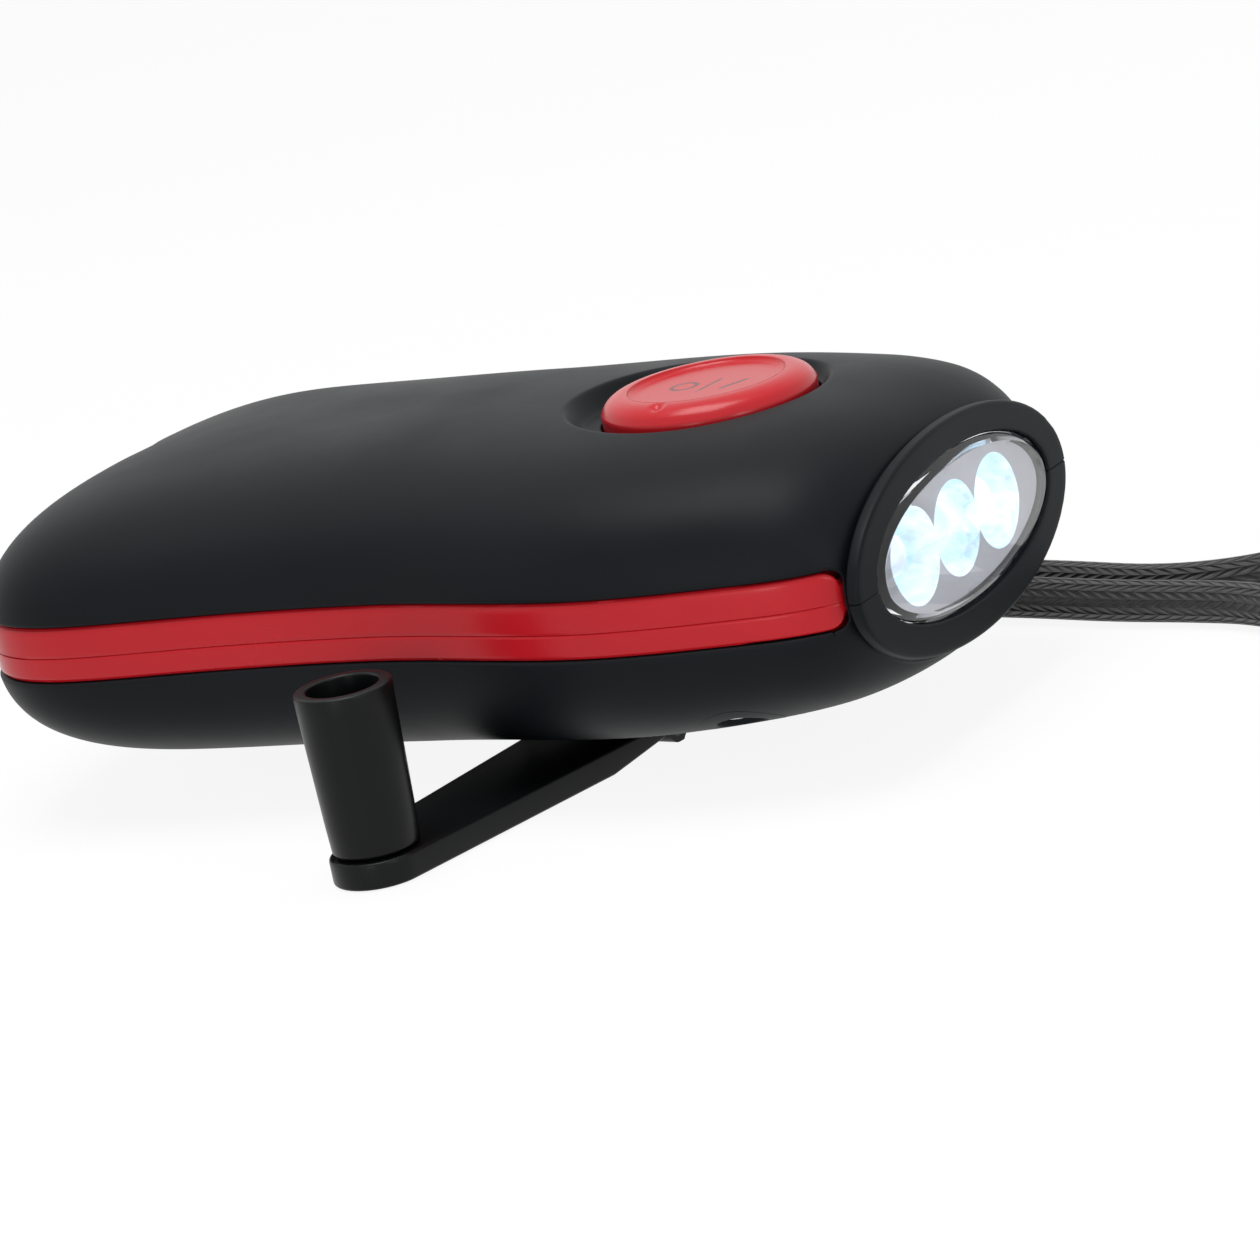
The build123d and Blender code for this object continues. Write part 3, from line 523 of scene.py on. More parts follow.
def moulded(name, colour, second, roughness, spread, grain=2500.0, depth=0.00003, strength=0.25, edge=None,
            metallic=0.0, specular=0.5, marks=None):
    """Moulded plastic, rubber or metal: two close colours in patches and fine grain, then if wanted
    another colour on convex edges as a painted highlight, and marks, given as their height and colour, the
    colour being painted shade in the sunk marks."""
    made, tree, shader, vector = start_material(name)
    texture = place_group(tree, "moulded_grain")
    texture.inputs["Grain"].default_value = grain
    tree.links.new(vector, texture.inputs["Vector"])
    colour_now = blend_colours(tree, texture.outputs["Patches"], colour, second)
    height = texture.outputs["Height"]
    # Lighter colour on convex edges: a painted highlight.
    if edge is not None:
        edge_highlight = place_group(tree, "painted_edge_highlight")
        tree.links.new(vector, edge_highlight.inputs["Vector"])
        colour_now = blend_colours(tree, edge_highlight.outputs["Mask"], colour_now, edge)
    # Darker colour in the sunk marks: painted shade in the marks.
    if marks is not None:
        sunk = place_group(tree, "power_marks")
        sunk.inputs["Disc Height"].default_value = marks[0]
        tree.links.new(vector, sunk.inputs["Vector"])
        colour_now = blend_colours(tree, sunk.outputs["Mask"], colour_now, marks[1])
        height = calculate(tree, "MULTIPLY_ADD", sunk.outputs["Mask"], -6.0, height)
    tree.links.new(colour_now, shader.inputs["Base Color"])
    rough = calculate(tree, "MULTIPLY_ADD", texture.outputs["Patches"], spread, roughness)
    tree.links.new(rough, shader.inputs["Roughness"])
    add_bump(tree, shader, height, strength, depth)
    set_inputs(shader, {"Metallic": metallic, "Specular IOR Level": specular})
    return made


def clear_plastic(name, tint, roughness):
    """Clear plastic that lets lamp light through its own shadow."""
    made, tree, shader, vector = start_material(name)
    texture = place_group(tree, "moulded_grain")
    tree.links.new(vector, texture.inputs["Vector"])
    add_bump(tree, shader, texture.outputs["Height"], 0.02, 0.00001)
    rough = calculate(tree, "MULTIPLY_ADD", texture.outputs["Patches"], 0.02, roughness)
    tree.links.new(rough, shader.inputs["Roughness"])
    set_inputs(shader, {"Base Color": (*tint, 1.0), "Transmission Weight": 1.0, "IOR": 1.49})
    path = tree.nodes.new("ShaderNodeLightPath")
    passing = tree.nodes.new("ShaderNodeBsdfTransparent")
    passing.inputs["Color"].default_value = (0.93, 0.94, 0.96, 1.0)
    mix_surfaces(tree, path.outputs["Is Shadow Ray"], shader, passing)
    return made


def bright_cup(name, colour, shade, glow, metallic, facet):
    """Lit lamp or silvered cup: two cool whites in patches that glow, with fine facets in its normal. On a cup
    the glow is painted light, a painted reflection of the white surroundings, and the second colour in patches
    is painted pale blue shading.
    """
    made, tree, shader, vector = start_material(name)
    facets = tree.nodes.new("ShaderNodeTexVoronoi")
    facets.inputs["Scale"].default_value = 900.0
    tree.links.new(vector, facets.inputs["Vector"])
    broad = noise(tree, vector, 260.0, 3.0, 0.6)
    mask = limited(tree, calculate(tree, "MULTIPLY_ADD", broad, 3.0, -1.05))
    colour_now = blend_colours(tree, mask, colour, shade)
    tree.links.new(colour_now, shader.inputs["Base Color"])
    # Emission: the lamps' own light on the lamps, painted light on the cups, which are no lamps.
    tree.links.new(colour_now, shader.inputs["Emission Color"])
    set_inputs(shader, {"Emission Strength": glow, "Metallic": metallic})
    tree.links.new(calculate(tree, "MULTIPLY_ADD", broad, 0.25, 0.12), shader.inputs["Roughness"])
    add_bump(tree, shader, facets.outputs["Distance"], facet, 0.0004)
    return made


def knitted(name, colour, gap_shade_colour):
    """Knitted nylon: stitches from the knit group, darker in the gaps as painted shade, with a dull sheen."""
    made, tree, shader, vector = start_material(name, uv=True)
    stitches = place_group(tree, "knit_stitches")
    tree.links.new(vector, stitches.inputs["UV"])
    shaded_gaps = stitches.outputs["Shaded Gaps"]
    # Darker colour in the gaps: painted shade between the stitches.
    tree.links.new(blend_colours(tree, shaded_gaps, colour, gap_shade_colour), shader.inputs["Base Color"])
    tree.links.new(calculate(tree, "MULTIPLY_ADD", shaded_gaps, 0.35, 0.42), shader.inputs["Roughness"])
    shader.inputs["Sheen Weight"].default_value = 0.15
    add_bump(tree, shader, stitches.outputs["Height"], 0.9, 0.0005)
    return made


def twisted(name, colour, second):
    """Twisted string: fine diagonal waves on Object coordinates."""
    made, tree, shader, vector = start_material(name)
    wave = tree.nodes.new("ShaderNodeTexWave")
    wave.bands_direction = "DIAGONAL"
    set_inputs(wave, {"Scale": 700.0, "Distortion": 1.5})
    tree.links.new(vector, wave.inputs["Vector"])
    tree.links.new(blend_colours(tree, wave.outputs["Fac"], colour, second), shader.inputs["Base Color"])
    shader.inputs["Roughness"].default_value = 0.6
    add_bump(tree, shader, wave.outputs["Fac"], 0.6, 0.00015)
    return made


# Pieces of the body.

def pressed(height, softness):
    """Smooth ramp: softness * ln(1 + e^(height / softness))."""
    return softness * np.logaddexp(0, height / softness)


def hollowed(points, x, floor, foot, slope, softness=0.14):
    """Lowers points into a dish: the smooth lesser of their height and a cone over a flat floor."""
    reach = np.hypot(points[..., 0] - x, points[..., 1])
    cone = floor + slope * pressed(reach - foot, 0.15)
    points[..., 2] = -softness * np.logaddexp(-points[..., 2] / softness, -cone / softness)
    return points


def main_cover(centre_x, hole, edge, upper, rows, count):
    """Outer surface from a round hole to the band: rays at even elevations between the hole's edge
    and the level edge, or the front end's outline where that comes first."""
    corner_y = flank(FRONT_X, edge, upper)
    mark = np.arctan2(corner_y, FRONT_X - centre_x)
    turn = plan_angles(centre_x, count, [mark])
    rim = np.stack([centre_x + hole * np.cos(turn), hole * np.sin(turn)], -1)
    rim_z = crown(rim[:, 0], rim[:, 1], upper)
    ring = level_ring(centre_x, turn, edge, 0.0, upper)
    ahead = (np.cos(turn) > 0) & (np.abs(np.sin(turn)) <= np.sin(mark) + 1e-9)
    slope = np.where(ahead, np.tan(turn), 0)
    front_y = (FRONT_X - centre_x) * slope
    ring = np.where(ahead[:, None], np.stack([
        np.full_like(turn, FRONT_X), front_y, crown(FRONT_X, front_y, upper),
    ], -1), ring)
    high = np.arctan2(rim_z, hole)
    low = np.arctan2(ring[:, 2], np.hypot(ring[:, 0] - centre_x, ring[:, 1]))
    lift = high + (low - high) * np.linspace(0, 1, rows)[:, None]
    ways = np.stack([np.cos(lift) * np.cos(turn), np.cos(lift) * np.sin(turn), np.sin(lift)], -1)
    points = cast(centre_x, ways, 0.0, upper)
    points[0] = np.stack([rim[:, 0], rim[:, 1], rim_z], -1)
    points[-1] = ring
    return points, turn, mark


def edge_rows(rounding, depth):
    """Distance from the edge and depth under the surface, from the surface over a quarter turn."""
    quarter = np.linspace(0, pi / 2, 6)
    away = np.append(rounding * (1 - np.sin(quarter)), 0)
    under = np.append(rounding * (1 - np.cos(quarter)), depth)
    return away, under


def edge_strip(centre_x, turn, edge, rounding, depth, upper):
    """Rounded edge along the band: outlines at the levels and depths of the quarter turn."""
    away, under = edge_rows(rounding, depth)
    return level_ring(centre_x, turn[None, :], (edge + away)[:, None], under[:, None], upper)


def cheek(side, edge, rounding, depth, upper):
    """Skin round the band's front end: offsets from its rounded corner and its end, out to the
    cover's lowest row and the nose."""
    centre_x, centre_z = BAND_FRONT + BAND_GAP - BAND_CORNER, edge - BAND_CORNER
    wide, high = FRONT_X - centre_x, BAND_CORNER + rounding
    turn = np.sort(np.append(np.linspace(0, pi / 2, 9), np.arctan2(wide, high)))
    x = np.append(centre_x + BAND_CORNER * np.sin(turn), np.full(7, centre_x + BAND_CORNER))
    z = np.append(centre_z + BAND_CORNER * np.cos(turn), np.linspace(centre_z, 0, 8)[1:])
    way_x, way_z = np.append(np.sin(turn), np.ones(7)), np.append(np.cos(turn), np.zeros(7))
    reach = np.minimum(high / np.maximum(np.cos(turn), 1e-9), wide / np.maximum(np.sin(turn), 1e-9))
    reach = np.append(reach, np.full(7, wide)) - BAND_CORNER
    away, under = edge_rows(min(rounding, 0.45), depth)
    away = np.concatenate([
        np.linspace(1, 0, 4)[:3, None] * (reach - rounding) + rounding, np.repeat(away[:, None], len(x), 1),
    ])
    under = np.concatenate([np.zeros(3), under])[:, None]
    grid_x, grid_z = x + way_x * away, z + way_z * away
    return np.stack([grid_x, side * flank(grid_x, grid_z, upper, under), grid_z], -1)


def nose(turn, mark, centre_x, edge, upper, sizes):
    """Nose, cove, bezel ring, the bore for the lens and the ledge it seats on, as outlines that go
    from the body's front end inwards. Each is (a cos b, c sin b) times (cos^p b + sin^p b)^(-1/p)."""
    ahead = turn[(np.cos(turn) > 0) & (np.abs(np.sin(turn)) <= np.sin(mark) + 1e-9)]
    ahead = np.sort(np.where(ahead > pi, ahead - 2 * pi, ahead))
    over_y = (FRONT_X - centre_x) * np.tan(ahead)
    side_z = np.linspace(0, edge, 9)[:-1]
    side_y = flank(FRONT_X, side_z, upper)
    y = np.concatenate([-side_y, over_y, side_y[::-1]])
    z = np.concatenate([side_z, crown(FRONT_X, over_y, upper), side_z[::-1]])
    width, rise, drop = (float(value) for value in half_sizes(FRONT_X))
    height = rise if upper else drop
    angle = np.arctan2(z / height, y / width)
    sign = 1 if upper else -1

    def outline(x, across, tall, power, centre_z):
        start = np.arcsin(-sign * centre_z / tall)
        now = start + angle / pi * (pi - 2 * start)
        size = (np.abs(np.cos(now)) ** power + np.abs(np.sin(now)) ** power) ** (-1 / power)
        return np.stack([np.full_like(now, x), across * np.cos(now) * size,
                         sign * centre_z + tall * np.sin(now) * size], -1)

    ring_a, ring_c, ring_z = sizes.bezel_half_width / MM, sizes.bezel_half_height / MM, BEZEL_RISE
    bore_a, bore_c, bore_z = sizes.lens_half_width / MM, sizes.lens_half_height / MM, HEAD_Z - SEAM_Z
    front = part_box("upper_grip")[1][0] / MM
    rows = [np.stack([np.full_like(y, FRONT_X), y, z], -1)]
    for turn_now in np.radians([22.5, 45, 67.5, 90]):
        less = NOSE_ROUNDING * (1 - np.cos(turn_now))
        x = FRONT_X + NOSE_ROUNDING * np.sin(turn_now)
        rows.append(outline(x, width - less, height - less, NOSE_POWER, 0))
    body_end, ring_root = rows[-1], outline(0, ring_a, ring_c, 2, ring_z)
    for share in np.linspace(0, pi / 2, 10)[1:]:
        mixed = body_end + (ring_root - body_end) * np.sin(share)
        mixed[:, 0] = FRONT_X + NOSE_ROUNDING + COVE_LENGTH * (1 - np.cos(share))
        rows.append(mixed)
    quarter = np.radians([0, 18, 36, 54, 72, 90])
    for turn_now in quarter:
        less = BEZEL_ROUNDING * (1 - np.cos(turn_now))
        x = front - BEZEL_ROUNDING * (1 - np.sin(turn_now))
        rows.append(outline(x, ring_a - less, ring_c - less, 2, ring_z))
    for share in np.linspace(0, 1, 6)[1:-1]:
        across = ring_a - BEZEL_ROUNDING + (bore_a + BORE_ROUNDING + BEZEL_ROUNDING - ring_a) * share
        tall = ring_c - BEZEL_ROUNDING + (bore_c + BORE_ROUNDING + BEZEL_ROUNDING - ring_c) * share
        rows.append(outline(front, across, tall, 2, ring_z + (bore_z - ring_z) * share))
    for turn_now in quarter:
        more = BORE_ROUNDING * (1 - np.sin(turn_now))
        x = front - BORE_ROUNDING * (1 - np.cos(turn_now))
        rows.append(outline(x, bore_a + more, bore_c + more, 2, bore_z))
    rows.append(outline(LENS_ROOT - 0.05, bore_a, bore_c, 2, bore_z))
    rows.append(outline(LENS_ROOT - 0.1, bore_a - 1.6, bore_c - 1.4, 2, bore_z))
    return with_seam(np.array(rows))


def with_seam(points, groove=0.12, depth=1.0):
    """Adds a fine groove and a wall at both ends of the outlines, along the surface's normal there."""
    ends = []
    for column, side in ((0, 1), (-1, -1)):
        along = np.gradient(points[:, column, :2], axis=0)
        along /= np.maximum(np.hypot(along[:, 0], along[:, 1]), 1e-9)[:, None]
        out = np.stack([side * along[:, 1], -side * along[:, 0], 0 * along[:, 0]], -1)
        level = points[:, column] * [1, 1, 0]
        ends.append((level - out * depth, level - out * groove))
        points[:, column, 2] += groove
    wall, cut = ends[0]
    other_wall, other_cut = ends[1]
    return np.concatenate([wall[:, None], cut[:, None], points, other_cut[:, None], other_wall[:, None]], 1)


def lip(x, y, across, along_y, upper, depth):
    """Rim of an oval hole: rings that follow the body, round over and go down into it."""
    turn = np.linspace(0, 2 * pi, 72, endpoint=False)
    quarter = np.linspace(0, pi / 2, 6)
    more = np.concatenate([[1.7, 1.3, 0.9, 0.5], 0.25 * (1 - np.sin(quarter)), [0]])[:, None]
    sunk = np.concatenate([[0, 0, 0, 0], 0.25 * (1 - np.cos(quarter)), [depth]])[:, None]
    grid_x, grid_y = x + (across + more) * np.cos(turn), y + (along_y + more) * np.sin(turn)
    return np.stack([grid_x, grid_y, crown(grid_x, grid_y, upper) + 0.02 - sunk], -1)


LUG_BALLS = ((-56.0, 0.0, 11.7, 3.8), (-59.4, 0.0, 10.0, 2.4))
LUG_MIDDLE = np.array([-58.0, 0.0, 10.7])
LUG_INWARD = np.array([0.447, 0.0, -0.894])


def lug_reach(ways, more):
    """Distance from the lug hollow's middle to the far side of its two balls, along each way."""
    reach = np.zeros(ways.shape[:-1])
    for x, y, z, radius in LUG_BALLS:
        to_ball = np.array([x, y, z]) - LUG_MIDDLE
        along = ways @ to_ball
        reach = np.maximum(reach, along + np.sqrt(along**2 - to_ball @ to_ball + (radius + more) ** 2))
    return reach


def lug_ring(more, turn):
    """Where the balls, grown a little, leave the body: 40 halvings of the angle from the inward way."""
    across = np.cross(LUG_INWARD, [0, 1, 0])
    side = np.cos(turn)[:, None] * across + np.sin(turn)[:, None] * np.array([0, 1, 0])
    near, far = np.zeros_like(turn), np.full_like(turn, pi)
    for _ in range(40):
        angle = (near + far) / 2
        ways = np.cos(angle)[:, None] * LUG_INWARD + np.sin(angle)[:, None] * side
        points = LUG_MIDDLE + ways * lug_reach(ways, more)[:, None]
        inside = fullness(points[:, 0], points[:, 1], points[:, 2], 0, True) < 1
        near, far = np.where(inside, angle, near), np.where(inside, far, angle)
    return points, ways


def lug_hollow():
    """Rim and bowl of the hollow round the strap's bar: rings on the body, a quarter turn into the
    hollow, then the two balls' own surface down to its bottom."""
    turn = np.linspace(0, 2 * pi, 96, endpoint=False)
    rows = [lug_ring(more, turn)[0] * [1, 1, 1.0005] for more in (1.6, 1.2, 0.8, 0.5)]
    for quarter in np.linspace(0, pi / 2, 5):
        ring = lug_ring(0.25 * (1 - np.sin(quarter)), turn)[0]
        rows.append(ring + LUG_INWARD * 0.25 * (1 - np.cos(quarter)))
    edge = lug_ring(0.0, turn)[1]
    for share in np.linspace(0, 1, 15)[1:]:
        ways = edge * (1 - share) + LUG_INWARD * share
        ways /= np.linalg.norm(ways, axis=1)[:, None]
        rows.append(LUG_MIDDLE + ways * lug_reach(ways, 0.0)[:, None])
    return np.array(rows)


def clear_of_lug(centres):
    """True for faces outside the hollow round the strap's bar."""
    clear = np.ones(len(centres), bool)
    for x, y, z, radius in LUG_BALLS:
        clear &= np.linalg.norm(centres - [x, y, z], axis=1) > radius + 0.85
    return clear


def clear_of_ovals(ovals):
    """Test for faces outside the ovals, each given as x, y and its two half sizes."""
    def test(centres):
        clear = np.ones(len(centres), bool)
        for x, y, across, along_y in ovals:
            reach = np.hypot((centres[:, 0] - x) / (across + 0.7), (centres[:, 1] - y) / (along_y + 0.7))
            clear &= reach > 1
        return clear
    return test


def skin(name, upper, centre_x, hole, edge, rows, count, sizes, shaped, keep, lips, inside):
    """Rubber skin: its cover, the rounded edge along the band, the cheeks at the band's ends, the
    nose with its half of the bezel ring, and what goes into its round hole. The last is a profile of
    radii added to the hole's and of heights, over 5 from the seam and otherwise from the cover."""
    rounding, depth = 0.4, 1.2
    cover, turn, mark = main_cover(centre_x, hole, edge + rounding, upper, rows, count)
    corner_x = BAND_FRONT + BAND_GAP - BAND_CORNER
    first = float(np.arctan2(flank(corner_x, edge, upper), corner_x - centre_x))
    behind = np.concatenate([[first], turn[(turn > first) & (turn < 2 * pi - first)], [2 * pi - first]])
    cover = shaped(cover)
    radii, heights = inside
    radii, heights = np.asarray(radii, float)[:, None], np.asarray(heights, float)[:, None]
    below = np.stack([
        centre_x + (hole + radii) * np.cos(turn), (hole + radii) * np.sin(turn),
        np.where(heights > 5, heights, cover[0, :, 2] + heights),
    ], -1)
    grids = [
        (cover, True, keep), (edge_strip(centre_x, behind, edge, rounding, depth, upper), False),
        (cheek(1, edge, rounding, depth, upper), False), (cheek(-1, edge, rounding, depth, upper), False),
        (nose(turn, mark, centre_x, edge + rounding, upper, sizes), False), (below, True),
    ]
    grids += [(points, True) for points in lips]
    sign = 1 if upper else -1

    def kept(centres):
        return keep((centres - [0, 0, SEAM_Z]) * [1, 1, sign])

    placed = [(np.array(points) * [1, 1, sign] + [0, 0, SEAM_Z], closed, kept if test else None)
              for points, closed, *test in grids]
    return build(name, placed, (0, 0, SEAM_Z), 34.0)


def band_half(name, upper, top):
    """Half of the red band: outlines from the parting groove up, with a rounded edge and round ends."""
    inset, rounding, groove = 0.2, 0.45, 0.1
    close = BAND_FRONT - BAND_CORNER * (1 - np.cos(np.linspace(0, pi / 2, 9)))
    close = np.arctan2(flank(close, 0.0, upper, inset), close)
    turn = plan_angles(0.0, 360, [])
    turn = turn[(turn > close[-1] + 0.01) & (turn < 2 * pi - close[-1] - 0.01)]
    turn = np.concatenate([close, turn, 2 * pi - close[::-1]])
    x = level_ring(0.0, turn, 0.0, inset, upper)[:, 0]
    short = np.clip(x - (BAND_FRONT - BAND_CORNER), 0, BAND_CORNER)
    limit = top - BAND_CORNER + np.sqrt(BAND_CORNER**2 - short**2)
    quarter = np.linspace(0, pi / 2, 6)
    share = np.concatenate([[0, 0, 0], np.linspace(0, 1, 8)[1:], np.ones(6)])[:, None]
    base = np.concatenate([[0, 0, groove], np.full(7, groove), np.full(6, groove)])[:, None]
    rise = np.concatenate([np.zeros(10), rounding * np.sin(quarter[1:]), [rounding]])[:, None]
    deep = np.concatenate([[1.2, inset + groove, inset], np.full(7, inset),
                           inset + rounding * (1 - np.cos(quarter[1:])), [1.2]])[:, None]
    levels = base + (limit - rounding - base) * share + rise
    points = level_ring(0.0, turn[None, :], levels, deep, upper)
    inner = points[:, [0, -1]] * [1, 0.95, 1]
    points = np.concatenate([inner[:, :1], points, inner[:, 1:]], 1)
    points[..., 2] = SEAM_Z + (1 if upper else -1) * points[..., 2]
    return build(name, [(points, False)], (0, 0, SEAM_Z), 50.0)


def necked_shell(node):
    """Copy of a CAD shell, merged, whose front is drawn in towards the body's middle line at the seam
    to stay under the skins: past the squeeze's start, widths and heights are scaled by the body's
    width over its width without the neck, less a share that grows to 4.5 percent."""
    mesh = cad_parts[node].data.copy()
    points = np.zeros(len(mesh.vertices) * 3)
    mesh.vertices.foreach_get("co", points)
    points = points.reshape(-1, 3)
    x = points[:, 0] / MM
    width = half_sizes(x)[0]
    squeeze = width / (width + NECK_DEPTH * end_fall(x, NECK_LENGTH))
    squeeze -= SHELL_SQUEEZE * np.clip((x - SHELL_SQUEEZE_START) / SHELL_SQUEEZE_LENGTH, 0, 1)
    squeeze = np.where(x > SHELL_SQUEEZE_START, squeeze, 1.0)
    points[:, 1] *= squeeze
    points[:, 2] = SEAM_Z * MM + (points[:, 2] - SEAM_Z * MM) * squeeze
    mesh.vertices.foreach_set("co", points.ravel())
    weld = bmesh.new()
    weld.from_mesh(mesh)
    bmesh.ops.remove_doubles(weld, verts=weld.verts, dist=1e-6)
    weld.to_mesh(mesh)
    weld.free()
    return smoothed(node.replace("shell", "case"), mesh, 35.0)


# Pieces of the lamp head, button and crank.

def oval_rows(rows, centre_z, count=120):
    """Rings of ellipses across X, each given as x, half width and half height; zero sizes close it."""
    turn = np.linspace(0, 2 * pi, count, endpoint=False)
    rows = np.asarray(rows, float)
    return np.stack([
        rows[:, :1] + 0 * turn, rows[:, 1:2] * np.cos(turn), centre_z + rows[:, 2:] * np.sin(turn),
    ], -1)


def lens_grid(half_width, half_height, front):
    """Clear window: a flat front, a bevel, a short wall and the hollow that takes the plate."""
    wide, tall = half_width - 0.05, half_height - 0.05
    return oval_rows((
        (front, 0, 0), (front, wide - 1.15, tall - 1.15), (front - 0.03, wide - 1.0, tall - 1.0),
        (front - 0.58, wide - 0.08, tall - 0.08), (front - 0.68, wide, tall), (LENS_ROOT, wide, tall),
        (LENS_ROOT, wide - 0.9, tall - 0.9), (LENS_BACK, wide - 0.9, tall - 0.9), (LENS_BACK, 0, 0),
    ), HEAD_Z)


def cup_turns(number):
    """Angles round a cup, in 31 steps over its free side and 11 over a side shared with the next."""
    reach = np.arccos(LAMP_PITCH / 2 / CUP_RADIUS)
    free = np.linspace(0.0 if number == 2 else reach, pi if number == 0 else pi - reach, 31)
    shared = np.linspace(-reach, reach, 11)[1:-1]
    turn = np.concatenate([free, -free] + [shared] * (number < 2) + [shared + pi] * (number > 0))
    return np.unique(np.round(np.mod(turn, 2 * pi), 9)), free


def plate_grids(half_width, half_height):
    """Plate with three cups that run into each other. Its face spans, at each y, from the cups'
    outline to the ellipse. A cup's x rises as share^1.35 from its floor to where it meets the plate
    or, half way to its neighbour, the next cup."""
    centres = (-LAMP_PITCH, 0.0, LAMP_PITCH)
    inner = np.concatenate([y + CUP_RADIUS * np.cos(cup_turns(n)[1]) for n, y in enumerate(centres)])
    end = LAMP_PITCH + CUP_RADIUS
    outer = half_width * np.sin(np.linspace(0, pi / 2, 24))
    outer = outer[outer > end + 0.05]
    y = np.unique(np.round(np.concatenate([-outer, inner, outer]), 9))
    lobe = np.sqrt(np.clip(CUP_RADIUS**2 - (y[:, None] - centres) ** 2, 0, None)).max(1)
    rim = half_height * np.sqrt(np.clip(1 - (y / half_width) ** 2, 0, None))
    middle = LAMP_Z + (HEAD_Z - LAMP_Z) * np.clip((np.abs(y) - end) / (half_width - end), 0, 1)
    grids = []
    for side in (1, -1):
        low, high = middle + side * lobe, HEAD_Z + side * rim
        z = low + (high - low) * np.linspace(0, 1, 5)[:, None]
        grids.append((np.stack([np.full_like(z, PLATE_X), y + 0 * z, z], -1), False, None, (0, 0, HEAD_Z)))
    edge = oval_rows(((PLATE_X, half_width, half_height), (PLATE_X - 1.5, half_width, half_height)), HEAD_Z)
    grids.append((edge, True, None, (PLATE_X - 1, 0, HEAD_Z)))
    for number, centre in enumerate(centres):
        turn = cup_turns(number)[0]
        away = np.cos(turn)
        shared = (away > 0) & (number < 2) | (away < 0) & (number > 0)
        half_way = LAMP_PITCH / 2 / np.maximum(np.abs(away), 1e-6)
        size = np.where(shared, np.minimum(CUP_RADIUS, half_way), CUP_RADIUS)
        radius = CUP_FLOOR_RADIUS + (size - CUP_FLOOR_RADIUS) * np.linspace(0, 1, 20)[:, None]
        part = (radius - CUP_FLOOR_RADIUS) / (CUP_RADIUS - CUP_FLOOR_RADIUS)
        x = CUP_FLOOR_X + (PLATE_X - CUP_FLOOR_X) * part**1.35
        cup = np.stack([x, centre + radius * np.cos(turn), LAMP_Z + radius * np.sin(turn)], -1)
        grids.append((cup, True, None, (90, centre, LAMP_Z)))
    return grids


def lamp_grid(y):
    """Five-millimetre lamp: flange, barrel and dome, spun about its own axis."""
    dome = np.linspace(0, pi / 2, 14)
    radius, height = joined(
        ([0, 2.85, 2.9, 2.9, 2.5], [27.7, 27.7, 27.8, 28.55, 28.6]),
        (2.5 * np.cos(dome), 33.55 + 2.5 * np.sin(dome)),
    )
    return along_x(spun(radius, height, 64), y, LAMP_Z)


def button_grid():
    """Push button: skirt, rounded shoulder that rises to the crown, sharp inner lip and sunk disc,
    with a small moulding dimple, depth times e^(-(distance / reach)^2), and a faint ring round it."""
    shoulder = eased((33.0, 33.75, 34.2, 34.45, 34.56, 34.585), np.linspace(0, 1, 26))
    spread = eased((10.5, 10.02, 9.45, 8.85, 8.3, 7.8), np.linspace(0, 1, 26))
    radius, height = joined(
        ([11.3, 11.4, 11.4, 10.5, 10.5], [28.95, 29.05, 29.85, 29.9, 32.6]), (spread, shoulder),
        arc(7.8, 34.46, 0.14, 90, 180, 6), ([7.6, 7.35, 7.2, 6.9, 6.6], [34.36, 34.2, 34.16, DISC_Z, DISC_Z]),
        (np.linspace(6.2, 0.001, 16), np.full(16, DISC_Z)),
    )
    grid = spun(radius, height, 220)
    dimple = np.hypot(grid[..., 0] - DIMPLE_X, grid[..., 1] - DIMPLE_Y)
    grid[..., 2] -= 0.42 * np.exp(-((dimple / 0.55) ** 2)) * (grid[..., 2] > 33)
    grid[..., 2] += 0.015 * np.exp(-(((dimple - 1.0) / 0.25) ** 2)) * (grid[..., 2] > 33)
    return grid + [BUTTON_X, 0, 0]


def knob_grid(low, high, reach):
    """Turning knob: a tube that widens to the top, round at its rims, closed near its foot."""
    radius, height = joined(
        ([0.001, 3.5], [low, low]), arc(3.65, low + 0.5, 0.5, -90, -2, 7), ([4.27], [low + 3.0]),
        ([4.36, 4.45, 4.54, 4.6], [low + 6.0, low + 9.0, low + 12.0, low + 14.0]),
        arc(4.37, high - 0.28, 0.28, 3, 90, 6), arc(3.62, high - 0.2, 0.2, 90, 178, 6),
        ([3.4, 3.4, 3.4], [high - 4.0, high - 8.0, low + 4.4]), ([0.001], [low + 4.4]),
    )
    return turned(spun(radius, height, 112) + [reach, 0, 0], CRANK_ANGLE)


